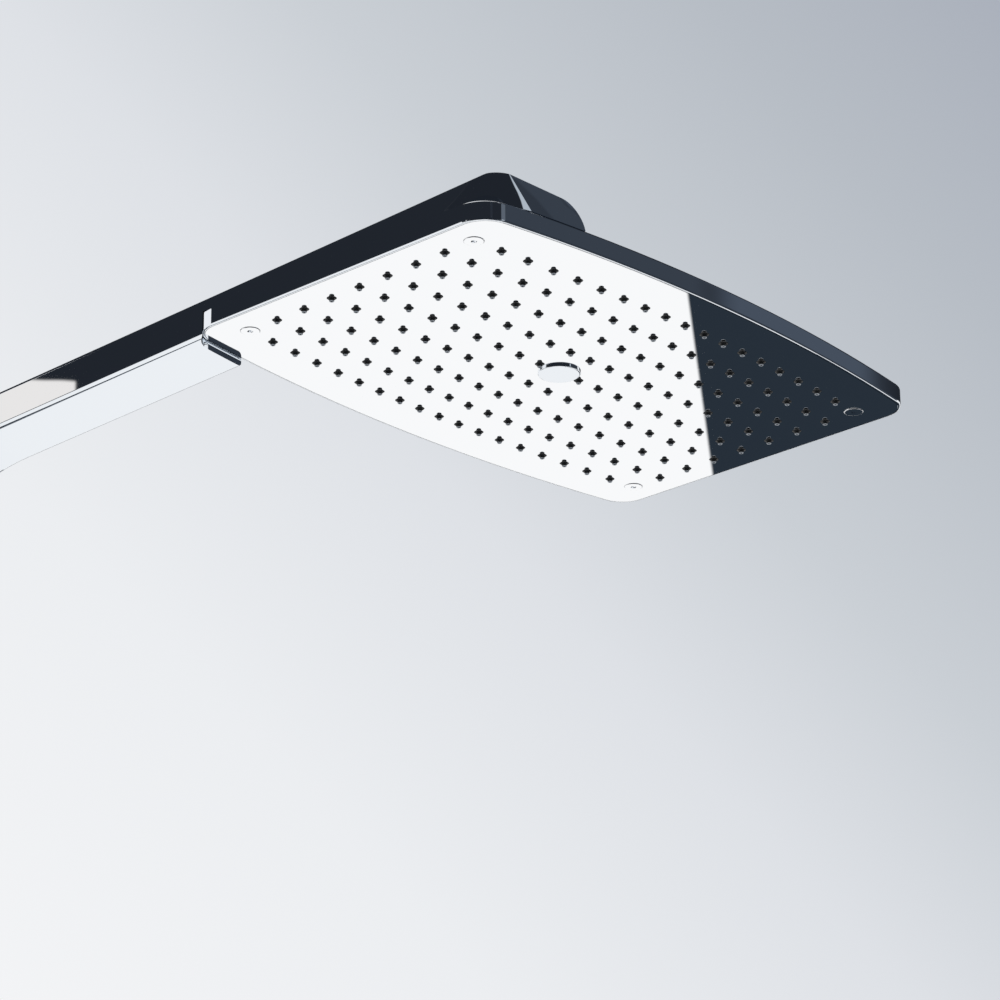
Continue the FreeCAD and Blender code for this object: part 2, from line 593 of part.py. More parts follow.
def head_shell():
    tray = head_block(0.0, SPRAY_Z, TRAY_TOP)
    low = straight_edges(tray, lambda b: b.ZLength < 0.01 and b.ZMin < SPRAY_Z + 0.01)
    tray = tray.makeFillet(RIM_R, low)
    high = straight_edges(tray, lambda b: b.ZLength < 0.01 and b.ZMax > TRAY_TOP - 0.01)
    tray = tray.makeFillet(TRAY_TOP_R, high)
    recess = head_block(RIM_W, SPRAY_Z - 1.0, MAT_TOP)
    chamber = head_block(SEAT_W, MAT_TOP - 0.5, CHAMBER_TOP)
    bosses = [rod_z(x, y, M4_R + BOSS_WALL, MAT_TOP, CHAMBER_TOP) for x, y in face_screw_places()]
    bosses.append(rod_z(HEAD_X, HEAD_Y, INSERT_STEM_R + BOSS_WALL, MAT_TOP, CHAMBER_TOP))
    tray = tray.cut(recess.fuse(chamber).cut(bosses))
    holes = [rod_z(x, y, M4_R + THREAD_PLAY, SPRAY_Z, CHAMBER_TOP - 0.3) for x, y in face_screw_places()]
    holes.append(rod_z(HEAD_X, HEAD_Y, INSERT_STEM_R + THREAD_PLAY, SPRAY_Z, CHAMBER_TOP - 0.3))
    holes += [rod_z(x, y, M4_R + HOLE_PLAY, MAT_TOP, TRAY_TOP + 1.0) for x, y in head_screw_places()]
    holes.append(rod_z(0.0, HEAD_Y, OUTLET_R, MAT_TOP, TRAY_TOP + 1.0))
    return tray.cut(holes)


def spray_plate():
    plate = head_block(RIM_W + SPRAY_PLAY, SPRAY_Z, SPRAY_Z + SPRAY_T)
    holes = [rod_z(x, y, NOZZLE_R + NOZZLE_PLAY, SPRAY_Z - 1.0, SPRAY_Z + SPRAY_T + 1.0)
             for x, y in nozzle_places()]
    for x, y in face_screw_places():
        holes.append(rod_z(x, y, FACE_SCREW_HEAD_R + HOLE_PLAY, SPRAY_Z - 1.0, SPRAY_Z + FACE_SCREW_HEAD_H))
        holes.append(rod_z(x, y, M4_R + HOLE_PLAY, SPRAY_Z, SPRAY_Z + SPRAY_T + 1.0))
    holes.append(rod_z(HEAD_X, HEAD_Y, INSERT_STEM_R + HOLE_PLAY, SPRAY_Z - 1.0, SPRAY_Z + SPRAY_T + 1.0))
    return plate.cut(holes)


def nozzle_mat():
    low = SPRAY_Z + SPRAY_T
    sheet = head_block(RIM_W + SPRAY_PLAY, low, MAT_TOP)
    tip_z = SPRAY_Z - NOZZLE_DROP
    nozzles = []
    for x, y in nozzle_places():
        root = rod_z(x, y, NOZZLE_R, SPRAY_Z, MAT_TOP)
        collar_z = SPRAY_Z - NOZZLE_COLLAR_H
        collar = Part.makeCone(NOZZLE_COLLAR_R, NOZZLE_R, NOZZLE_COLLAR_H, Vector(x, y, collar_z))
        stem = Part.makeCone(NOZZLE_TIP_R, NOZZLE_STEM_R, NOZZLE_DROP, Vector(x, y, tip_z))
        nozzles.append(root.fuse([collar, stem]))
    mat = sheet.fuse(nozzles)
    holes = [rod_z(x, y, NOZZLE_BORE, tip_z - 1.0, MAT_TOP + 1.0) for x, y in nozzle_places()]
    holes += [rod_z(x, y, M4_R + HOLE_PLAY, low - 1.0, MAT_TOP + 1.0) for x, y in face_screw_places()]
    holes.append(rod_z(HEAD_X, HEAD_Y, INSERT_STEM_R + HOLE_PLAY, low - 1.0, MAT_TOP + 1.0))
    return mat.cut(holes)


def face_screws():
    screws = []
    for x, y in face_screw_places():
        face_z = SPRAY_Z - FACE_SCREW_OUT
        head = rod_z(x, y, FACE_SCREW_HEAD_R, face_z, SPRAY_Z + FACE_SCREW_HEAD_H)
        rim = straight_edges(head, lambda b: b.ZLength < 0.01 and b.ZMax < SPRAY_Z)
        head = head.makeFillet(FACE_SCREW_EDGE, rim)
        shank = rod_z(x, y, M4_R, SPRAY_Z, CHAMBER_TOP - 0.5)
        socket = hex_prism(M4_KEY, KEY_DEPTH, Vector(x, y, face_z), Vector(0, 0, 1))
        screws.append(head.fuse(shank).cut(socket))
    return group(screws)


def centre_insert():
    disc = rod_z(HEAD_X, HEAD_Y, INSERT_R, SPRAY_Z - INSERT_T, SPRAY_Z)
    rim = straight_edges(disc, lambda b: b.ZLength < 0.01 and b.ZMax < SPRAY_Z - INSERT_T / 2.0)
    disc = disc.makeFillet(INSERT_T / 2.0, rim)
    return disc.fuse(rod_z(HEAD_X, HEAD_Y, INSERT_STEM_R, SPRAY_Z - INSERT_T / 2.0, CHAMBER_TOP - 0.5))


def head_screws():
    screws = []
    for x, y in head_screw_places():
        head = rod_z(x, y, HEAD_SCREW_HEAD_R, CHAMBER_TOP - HEAD_SCREW_HEAD_H, CHAMBER_TOP)
        shank = rod_z(x, y, M4_R, CHAMBER_TOP - 0.5, TRAY_TOP + HEAD_SCREW_IN)
        socket = hex_prism(M4_KEY, KEY_DEPTH, Vector(x, y, CHAMBER_TOP - HEAD_SCREW_HEAD_H), Vector(0, 0, 1))
        screws.append(head.fuse(shank).cut(socket))
    return group(screws)


def inlet_seal():
    ring = rod_z(0.0, HEAD_Y, SEAL_R_OUT, TRAY_TOP, TRAY_TOP + SEAL_T)
    return ring.cut(rod_z(0.0, HEAD_Y, SEAL_R_IN, TRAY_TOP - 1.0, TRAY_TOP + SEAL_T + 1.0))


def flow_limiter():
    radius = OUTLET_R - CARTRIDGE_PLAY
    disc = rod_z(0.0, HEAD_Y, radius, CHAMBER_TOP, TRAY_TOP + LIMITER_STAND)
    jets = []
    for i in range(LIMITER_JETS):
        turn = 2.0 * math.pi * i / LIMITER_JETS
        ring_r = LIMITER_JET_SHARE * radius
        jets.append(rod_z(ring_r * math.cos(turn), HEAD_Y + ring_r * math.sin(turn), LIMITER_JET_R,
                          CHAMBER_TOP - 1.0, TRAY_TOP + LIMITER_STAND + 1.0))
    return disc.cut(jets)


# --- arm bracket -------------------------------------------------------------------------------------
BRACKET_TOP = HOUSING_TOP - BRACKET_TOP_GAP
BRACKET_MIDDLE = BRACKET_TOP - BRACKET_H / 2.0


def bracket_screw_places():
    return [(0.0, BRACKET_MIDDLE - SCREW_PITCH / 2.0), (0.0, BRACKET_MIDDLE + SCREW_PITCH / 2.0)]


def clamp_screw_places():
    x = (ARM_W + BRACKET_W) / 4.0
    return [(sx * x, BRACKET_MIDDLE + sz * SCREW_PITCH / 2.0) for sx in (-1.0, 1.0) for sz in (-1.0, 1.0)]


def arm_bracket():
    half = BRACKET_W / 2.0
    block = box(-half, half, -LEG_STAND, -WALL_PLATE_T, BRACKET_TOP - BRACKET_H, BRACKET_TOP)
    leg = ARM_W / 2.0 + LEG_PLAY
    block = block.cut(box(-leg, leg, -LEG_STAND - 1.0, -LEG_STAND + ARM_T + LEG_PLAY,
                          BRACKET_TOP - BRACKET_H - 1.0, BRACKET_TOP + 1.0))
    holes = [rod_y(x, z, M5_R + THREAD_PLAY, -LEG_STAND - 1.0, -CLAMP_THREAD_END)
             for x, z in clamp_screw_places()]
    holes += [rod_y(x, z, M5_R + THREAD_PLAY, -LEG_STAND, 0.0) for x, z in bracket_screw_places()]
    return block.cut(holes)


def arm_clamp():
    half = BRACKET_W / 2.0
    front = -LEG_STAND - CLAMP_T
    plate = box(-half, half, front, -LEG_STAND, BRACKET_TOP - BRACKET_H, BRACKET_TOP)
    holes = [rod_y(x, z, M5_R + HOLE_PLAY, front - 1.0, -LEG_STAND + 1.0) for x, z in clamp_screw_places()]
    return plate.cut(holes)


def clamp_screws():
    front = -LEG_STAND - CLAMP_T
    screws = []
    for x, z in clamp_screw_places():
        head = rod_y(x, z, CLAMP_HEAD_R, front - CLAMP_HEAD_H, front)
        shank = rod_y(x, z, M5_R, front - 0.5, -CLAMP_SCREW_REACH)
        socket = hex_prism(M5_KEY, KEY_DEPTH_HIGH, Vector(x, front - CLAMP_HEAD_H, z), Vector(0, 1, 0))
        screws.append(head.fuse(shank).cut(socket))
    return group(screws)


def countersunk_screw(x, z, end_y):
    """M5 screw from the wall side, its head flush with the wall plate's rear face."""
    head = cone_y(x, z, M5_R, M5_R + WALL_PLATE_T, -WALL_PLATE_T, 0.0)
    shank = rod_y(x, z, M5_R, end_y, -WALL_PLATE_T / 2.0)
    return head.fuse(shank).cut(hex_prism(M5_CSK_KEY, KEY_DEPTH, Vector(x, 0, z), Vector(0, -1, 0)))


def bracket_screws():
    end = -LEG_STAND + ARM_T + BRACKET_SCREW_SHORT
    return group([countersunk_screw(x, z, end) for x, z in bracket_screw_places()])


# --- riser -------------------------------------------------------------------------------------------
NIPPLE_END = LEG_BOTTOM - NIPPLE_L
MIXER_TOP = FLOW_Z + MIXER_END
MIXER_BOTTOM = TEMP_Z - MIXER_END
MIXER_NIPPLE_END = MIXER_TOP + NIPPLE_L
FILTER_BACK = -SUPPLY_L - FILTER_GAP - FILTER_T


def arm_fitting():
    play = LEG_PLAY
    half_x = ARM_W / 2.0 - ARM_WALL - play
    half_y = ARM_T / 2.0 - ARM_WALL - play
    plug = box(-half_x, half_x, RISER_Y - half_y, RISER_Y + half_y, LEG_BOTTOM, LEG_BOTTOM + FITTING_DEPTH)
    flange_x = ARM_W / 2.0 - FITTING_INSET
    flange_y = ARM_T / 2.0 - FITTING_INSET
    flange = box(-flange_x, flange_x, RISER_Y - flange_y, RISER_Y + flange_y,
                 LEG_BOTTOM - FITTING_FLANGE_T, LEG_BOTTOM)
    nipple = rod_z(0.0, RISER_Y, NIPPLE_R, NIPPLE_END, LEG_BOTTOM)
    body = joined([plug, flange, nipple])
    return body.cut(rod_z(0.0, RISER_Y, WATER_R, NIPPLE_END - 1.0, LEG_BOTTOM + FITTING_DEPTH + 1.0))


def riser_pipe():
    top = NIPPLE_END - RISER_SEAL_T
    bottom = MIXER_NIPPLE_END + RISER_SEAL_T
    tube = rod_z(0.0, RISER_Y, PIPE_R, bottom, top)
    upper = rod_z(0.0, RISER_Y, COLLAR_R, top - COLLAR_T, top)
    lower = rod_z(0.0, RISER_Y, COLLAR_R, bottom, bottom + COLLAR_T)
    return tube.fuse([upper, lower]).cut(rod_z(0.0, RISER_Y, PIPE_BORE, bottom - 1.0, top + 1.0))


def riser_nut(collar_end, up):
    """Union nut round a collar and a nipple; up is +1 where the nipple lies above the collar."""
    grip = collar_end - up * (COLLAR_T + CARTRIDGE_PLAY)
    back = grip - up * NUT_END_T
    front = back + up * NUT_H
    low, high = min(back, front), max(back, front)
    nut = hex_prism(NUT_AF, high - low, Vector(0, RISER_Y, low), Vector(0, 0, 1))
    nut = nut.cut(rod_z(0.0, RISER_Y, PIPE_R + CARTRIDGE_PLAY, low - 1.0, high + 1.0))
    return nut.cut(rod_z(0.0, RISER_Y, NIPPLE_R + THREAD_PLAY, min(grip, front + up), max(grip, front + up)))


def riser_nuts():
    upper = riser_nut(NIPPLE_END - RISER_SEAL_T, 1.0)
    lower = riser_nut(MIXER_NIPPLE_END + RISER_SEAL_T, -1.0)
    return group([upper, lower])


def riser_seals():
    seals = []
    for z in (NIPPLE_END - RISER_SEAL_T, MIXER_NIPPLE_END):
        washer = rod_z(0.0, RISER_Y, NIPPLE_R - RISER_SEAL_INSET, z, z + RISER_SEAL_T)
        seals.append(washer.cut(rod_z(0.0, RISER_Y, WATER_R, z - 1.0, z + RISER_SEAL_T + 1.0)))
    return group(seals)


# --- mixer -------------------------------------------------------------------------------------------
def mixer_screw_places():
    heights = (MIXER_TOP - FOOT_END, MIXER_BOTTOM + FOOT_END)
    return [(sx * FOOT_X, z) for sx in (-1.0, 1.0) for z in heights]


def mixer_body():
    half = MIXER_W / 2.0
    block = box(-half, half, -MIXER_FRONT, -MIXER_BACK, MIXER_BOTTOM, MIXER_TOP)
    upright = straight_edges(block, lambda b: b.XLength + b.YLength < 0.1)
    block = block.makeFillet(MIXER_EDGE_R, upright)
    feet = [rod_y(x, z, FOOT_R, -MIXER_BACK - 1.0, -WALL_PLATE_T) for x, z in mixer_screw_places()]
    nipple = rod_z(0.0, RISER_Y, NIPPLE_R, MIXER_TOP - 1.0, MIXER_NIPPLE_END)
    body = joined([block, nipple] + feet)
    ways = [rod_y(0.0, z, CAVITY_R, -MIXER_FRONT - 1.0, -CAVITY_BACK) for z in (FLOW_Z, TEMP_Z)]
    ways.append(rod_z(0.0, RISER_Y, WATER_R, TEMP_Z, MIXER_NIPPLE_END + 1.0))
    for side in (-1.0, 1.0):
        ends = sorted((0.0, side * (half + 1.0)))
        ways.append(rod_x(RISER_Y, TEMP_Z, WATER_R, ends[0], ends[1]))
        port = sorted((side * (half - SPIGOT_L - SPIGOT_SEAL_T), side * (half + 1.0)))
        ways.append(rod_x(RISER_Y, TEMP_Z, SPIGOT_R + THREAD_PLAY, port[0], port[1]))
    ways += [rod_y(x, z, M5_R + THREAD_PLAY, -MIXER_THREAD_END, 0.0) for x, z in mixer_screw_places()]
    return body.cut(ways)


def mixer_screws():
    return group([countersunk_screw(x, z, -MIXER_SCREW_REACH) for x, z in mixer_screw_places()])


def supply_inlet(side):
    """Elbow from the wall supply into the side of the mixer body; side is -1 for hot, +1 for cold."""
    face = side * MIXER_W / 2.0
    end_x = side * INLET_X
    run = sorted((face, end_x))
    pipe = rod_x(RISER_Y, TEMP_Z, INLET_PIPE_R, run[0], run[1])
    tip = face - side * SPIGOT_L
    spigot_run = sorted((tip, face + side * 1.0))
    spigot = rod_x(RISER_Y, TEMP_Z, SPIGOT_R, spigot_run[0], spigot_run[1])
    knuckle = Part.makeSphere(INLET_R, Vector(end_x, RISER_Y, TEMP_Z))
    socket = rod_y(end_x, TEMP_Z, INLET_R, RISER_Y, 0.0)
    body = joined([pipe, spigot, knuckle, socket])
    bore_run = sorted((tip - side, end_x))
    bore = rod_x(RISER_Y, TEMP_Z, WATER_R, bore_run[0], bore_run[1])
    inner = rod_y(end_x, TEMP_Z, WATER_R, RISER_Y, 1.0)
    corner = Part.makeSphere(WATER_R, Vector(end_x, RISER_Y, TEMP_Z))
    thread = rod_y(end_x, TEMP_Z, SUPPLY_R, -SUPPLY_L, 1.0)
    filter_seat = rod_y(end_x, TEMP_Z, FILTER_SEAT_R, FILTER_BACK, -SUPPLY_L / 2.0)
    return body.cut([bore, inner, corner, thread, filter_seat])


def hot_inlet():
    return supply_inlet(-1.0)


def cold_inlet():
    return supply_inlet(1.0)


def inlet_filters():
    discs = []
    for side in (-1.0, 1.0):
        x = side * INLET_X
        disc = rod_y(x, TEMP_Z, FILTER_SEAT_R - CARTRIDGE_PLAY, FILTER_BACK, FILTER_BACK + FILTER_T)
        holes = []
        for ring in (1, 2):
            ring_r = ring * FILTER_RING_R
            count = ring * FILTER_RING_HOLES
            for i in range(count):
                turn = 2.0 * math.pi * i / count
                holes.append(rod_y(x + ring_r * math.cos(turn), TEMP_Z + ring_r * math.sin(turn),
                                   FILTER_HOLE_R, FILTER_BACK - 1.0, FILTER_BACK + FILTER_T + 1.0))
        discs.append(disc.cut(holes))
    return group(discs)


def inlet_seals():
    rings = []
    for side in (-1.0, 1.0):
        tip = side * (MIXER_W / 2.0 - SPIGOT_L)
        ends = sorted((tip, tip - side * SPIGOT_SEAL_T))
        ring = rod_x(RISER_Y, TEMP_Z, SPIGOT_R, ends[0], ends[1])
        rings.append(ring.cut(rod_x(RISER_Y, TEMP_Z, WATER_R, ends[0] - 1.0, ends[1] + 1.0)))
    return group(rings)


# --- controls ----------------------------------------------------------------------------------------
def cartridge(z):
    """Valve cartridge: body in the mixer's cavity, hexagon, neck, pocket and spindle bore."""
    body = rod_y(0.0, z, CAVITY_R - CARTRIDGE_PLAY, -MIXER_FRONT, -CAVITY_BACK - CARTRIDGE_PLAY)
    hexagon = hex_prism(CARTRIDGE_AF, CARTRIDGE_HEX_T, Vector(0, -MIXER_FRONT, z), Vector(0, -1, 0))
    neck = rod_y(0.0, z, NECK_R, -NECK_END, -MIXER_FRONT)
    solid = joined([body, hexagon, neck])
    pocket = rod_y(0.0, z, POCKET_R, -POCKET_END, 0.0)
    bore = rod_y(0.0, z, SPINDLE_R + SPINDLE_PLAY, -NECK_END - 1.0, -POCKET_END + 1.0)
    return solid.cut([pocket, bore])


def water_ports(z):
    """Cross holes through a cartridge's wall, so that water reaches its pocket."""
    y = -(CAVITY_BACK + POCKET_END) / 2.0 - PORT_OFFSET
    reach = CAVITY_R + 1.0
    return [rod_x(y, z, PORT_R, -reach, reach), rod_z(0.0, y, PORT_R, z - reach, z + reach)]


def thermostat_cartridge():
    return cartridge(TEMP_Z).cut(water_ports(TEMP_Z))


def flow_cartridge():
    return cartridge(FLOW_Z).cut(water_ports(FLOW_Z))


DISC_BACK = -CAVITY_BACK - DISC_SEAT
MOVING_DISC_BACK = DISC_BACK - DISC_T - DISC_GAP
FLANGE_FRONT = -POCKET_END + DISC_GAP


def wax_element():
    front = MOVING_DISC_BACK - DISC_T + DISC_GAP
    end = -CAVITY_BACK - WAX_END
    stem = rod_y(0.0, TEMP_Z, SPINDLE_FLANGE_R, front, end)
    guide = rod_y(0.0, TEMP_Z, POCKET_R - CARTRIDGE_PLAY, end - WAX_GUIDE_T, end)
    return joined([stem, guide])


def ceramic_disc(y0, radius):
    """Disc with the two water slots of a quarter-turn valve."""
    disc = rod_y(0.0, FLOW_Z, radius, y0, y0 + DISC_T)
    slots = [rod_y(0.0, FLOW_Z + s * radius / 2.0, radius / 3.5, y0 - 1.0, y0 + DISC_T + 1.0)
             for s in (-1.0, 1.0)]
    return disc.cut(slots)


def fixed_disc():
    return ceramic_disc(DISC_BACK - DISC_T, POCKET_R - CARTRIDGE_PLAY)


def moving_disc():
    return ceramic_disc(MOVING_DISC_BACK - DISC_T, POCKET_R - 3.0 * DISC_GAP)


def spindle(z):
    back = MOVING_DISC_BACK - DISC_T
    flange = rod_y(0.0, z, SPINDLE_FLANGE_R, FLANGE_FRONT, back)
    shaft = rod_y(0.0, z, SPINDLE_R, -SPINDLE_END, back)
    thread = rod_y(0.0, z, M4_R + THREAD_PLAY, -SPINDLE_END - 1.0, -SPINDLE_END + SPINDLE_THREAD_L)
    return joined([flange, shaft]).cut(thread)


def temperature_spindle():
    return spindle(TEMP_Z)


def flow_spindle():
    return spindle(FLOW_Z)


def control_collars():
    rings = []
    for z in (FLOW_Z, TEMP_Z):
        flange = rod_y(0.0, z, COLLAR_FLANGE_R, FRONT - COLLAR_FLANGE_T, FRONT)
        rim = straight_edges(flange, lambda b: b.YLength < 0.01 and b.YMax < FRONT - 1.0)
        flange = flange.makeFillet(COLLAR_FLANGE_T / 3.0, rim)
        lip = rod_y(0.0, z, CONTROL_HOLE_R - CARTRIDGE_PLAY, FRONT - 1.0, FRONT + HOUSING_T)
        hole = rod_y(0.0, z, CONTROL_HOLE_R - COLLAR_LIP_T,
                     FRONT - COLLAR_FLANGE_T - 1.0, FRONT + HOUSING_T + 1.0)
        rings.append(flange.fuse(lip).cut(hole))
    return group(rings)


def knob(z):
    """Cup-shaped knob with a hub on the spindle and a recessed screw."""
    cup = rod_y(0.0, z, KNOB_R, KNOB_FACE, KNOB_BACK)
    rim = straight_edges(cup, lambda b: b.YLength < 0.01 and b.YMax < KNOB_FACE + 1.0)
    cup = cup.makeFillet(KNOB_EDGE_R, rim)
    cup = cup.cut(rod_y(0.0, z, KNOB_R - KNOB_WALL, KNOB_FACE + KNOB_FRONT, KNOB_BACK + 1.0))
    hub = rod_y(0.0, z, HUB_R, KNOB_FACE + 1.0, -NECK_END - HUB_GAP)
    cup = joined([cup, hub])
    screw_seat = KNOB_FACE + KNOB_CAP_T + KNOB_SCREW_HEAD_H
    holes = [rod_y(0.0, z, SPINDLE_R + THREAD_PLAY / 2.0, -SPINDLE_END, -NECK_END),
             rod_y(0.0, z, M4_R + HOLE_PLAY, KNOB_FACE, -SPINDLE_END + 1.0),
             rod_y(0.0, z, KNOB_SCREW_HEAD_R + HOLE_PLAY, KNOB_FACE, screw_seat),
             rod_y(0.0, z, KNOB_CAP_R + THREAD_PLAY, KNOB_FACE - 1.0, KNOB_FACE + KNOB_CAP_T)]
    return cup.cut(holes)


def knob_screw(z):
    seat = KNOB_FACE + KNOB_CAP_T + KNOB_SCREW_HEAD_H
    head_front = seat - KNOB_SCREW_HEAD_H + KNOB_SCREW_PLAY
    head = rod_y(0.0, z, KNOB_SCREW_HEAD_R, head_front, seat)
    shank = rod_y(0.0, z, M4_R, seat - 0.5, -SPINDLE_END + SPINDLE_THREAD_L - KNOB_SCREW_SHORT)
    socket = hex_prism(M4_KEY, KEY_DEPTH_HIGH, Vector(0, head_front, z), Vector(0, 1, 0))
    return head.fuse(shank).cut(socket)


def knob_cap(z):
    cap = rod_y(0.0, z, KNOB_CAP_R, KNOB_FACE, KNOB_FACE + KNOB_CAP_T)
    rim = straight_edges(cap, lambda b: b.YLength < 0.01 and b.YMax < KNOB_FACE + 0.1)
    return cap.makeFillet(KNOB_CAP_EDGE_R, rim)


def temperature_knob():
    inside = TEMP_Z + KNOB_R - KNOB_WALL
    hole = rod_z(0.0, BUTTON_Y, BUTTON_R + BUTTON_PLAY, inside - 2.0, TEMP_Z + KNOB_R + 1.0)
    return knob(TEMP_Z).cut(hole)


def flow_knob():
    return knob(FLOW_Z)


def temperature_knob_screw():
    return knob_screw(TEMP_Z)


def flow_knob_screw():
    return knob_screw(FLOW_Z)


def temperature_knob_cap():
    return knob_cap(TEMP_Z)


def flow_knob_cap():
    return knob_cap(FLOW_Z)


BUTTON_BASE_TOP = TEMP_Z + math.sqrt((KNOB_R - KNOB_WALL) ** 2 - BUTTON_BASE_R ** 2) - BUTTON_SEAT_GAP
SPRING_LOW = TEMP_Z + HUB_R + BUTTON_SEAT_GAP
SPRING_HIGH = BUTTON_BASE_TOP - BUTTON_BASE_T - BUTTON_SEAT_GAP


def safety_button():
    base = rod_z(0.0, BUTTON_Y, BUTTON_BASE_R, BUTTON_BASE_TOP - BUTTON_BASE_T, BUTTON_BASE_TOP)
    stem = rod_z(0.0, BUTTON_Y, BUTTON_R, BUTTON_BASE_TOP - 1.0, TEMP_Z + KNOB_R + BUTTON_OUT)
    rim = straight_edges(stem, lambda b: b.ZLength < 0.01 and b.ZMin > TEMP_Z + KNOB_R)
    return joined([base, stem.makeFillet(BUTTON_EDGE_R, rim)])


def safety_spring():
    low = SPRING_LOW + SPRING_WIRE_R
    height = SPRING_HIGH - SPRING_WIRE_R - low
    helix = Part.makeHelix(height / SPRING_TURNS, height, SPRING_R)
    start = Part.Wire(Part.makeCircle(SPRING_WIRE_R, Vector(SPRING_R, 0, 0), Vector(0, 1, 0)))
    coil = Part.Wire(helix.Edges).makePipeShell([start], True, True)
    coil.translate(Vector(0, BUTTON_Y, low))
    return coil


PIECES = [column_housing, housing_screws, wall_plate, top_cap, bottom_cap,
          arm, arm_bracket, arm_clamp, clamp_screws, bracket_screws, arm_fitting,
          riser_pipe, riser_nuts, riser_seals,
          mixer_body, mixer_screws, hot_inlet, cold_inlet, inlet_filters, inlet_seals,
          thermostat_cartridge, wax_element, flow_cartridge, fixed_disc, moving_disc,
          temperature_spindle, flow_spindle, control_collars,
          temperature_knob, temperature_knob_screw, temperature_knob_cap, safety_button, safety_spring,
          flow_knob, flow_knob_screw, flow_knob_cap,
          head_shell, spray_plate, nozzle_mat, face_screws, centre_insert, head_screws, inlet_seal,
          flow_limiter]


def main():
    os.makedirs("parts", exist_ok=True)
    for make in PIECES:
        shape = make()
        solids = len(shape.Solids)
        print(f"{make.__name__}: {solids} solid(s), valid {shape.isValid()}, {shape.Volume / 1000.0:.2f} cm3")
        shape.exportStep(f"parts/{make.__name__}.step")


main()
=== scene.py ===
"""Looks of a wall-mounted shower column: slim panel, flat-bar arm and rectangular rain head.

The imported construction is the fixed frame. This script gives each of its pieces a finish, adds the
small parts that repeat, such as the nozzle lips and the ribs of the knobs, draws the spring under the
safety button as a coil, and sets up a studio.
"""

import logging
import math
from dataclasses import dataclass, field
from enum import Enum
from typing import Any, Mapping, Sequence, Union

import bpy
from mathutils import Matrix, Vector


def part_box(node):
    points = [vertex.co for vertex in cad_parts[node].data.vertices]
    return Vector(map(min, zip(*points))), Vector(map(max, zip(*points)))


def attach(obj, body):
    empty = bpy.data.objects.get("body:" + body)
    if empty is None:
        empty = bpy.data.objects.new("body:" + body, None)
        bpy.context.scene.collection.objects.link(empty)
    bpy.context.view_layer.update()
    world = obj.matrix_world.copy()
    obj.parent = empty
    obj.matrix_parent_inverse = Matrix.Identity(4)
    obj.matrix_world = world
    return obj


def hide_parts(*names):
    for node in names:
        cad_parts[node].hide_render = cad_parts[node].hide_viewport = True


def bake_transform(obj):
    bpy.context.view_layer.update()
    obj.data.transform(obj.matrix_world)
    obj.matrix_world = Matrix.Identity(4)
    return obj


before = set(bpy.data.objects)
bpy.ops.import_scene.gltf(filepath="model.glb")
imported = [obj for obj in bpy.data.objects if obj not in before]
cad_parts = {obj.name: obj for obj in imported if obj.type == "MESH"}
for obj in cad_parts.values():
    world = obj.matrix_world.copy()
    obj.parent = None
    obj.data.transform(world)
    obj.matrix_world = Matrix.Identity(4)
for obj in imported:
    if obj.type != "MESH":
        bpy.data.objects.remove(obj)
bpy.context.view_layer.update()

log = logging.getLogger("shower_column")

MM = 0.001
DEGREES = 180.0 / math.pi
HALF_TURN = 180.0
Colour = tuple[float, float, float]
Triple = tuple[float, float, float]
Edges = tuple[float, float]


def tone(red: float, green: float, blue: float) -> Colour:
    """Linear colour of a display tone.

    Args:
        red: Red on a scale of 0 to 255.
        green: Green on the same scale.
        blue: Blue on the same scale.

    Returns:
        The three linear values, from 0 to 1.
    """

    def linear(value: float) -> float:
        """One channel without its display curve."""
        share = value / 255.0
        return share / 12.92 if share <= 0.04045 else ((share + 0.055) / 1.055) ** 2.4

    return linear(red), linear(green), linear(blue)


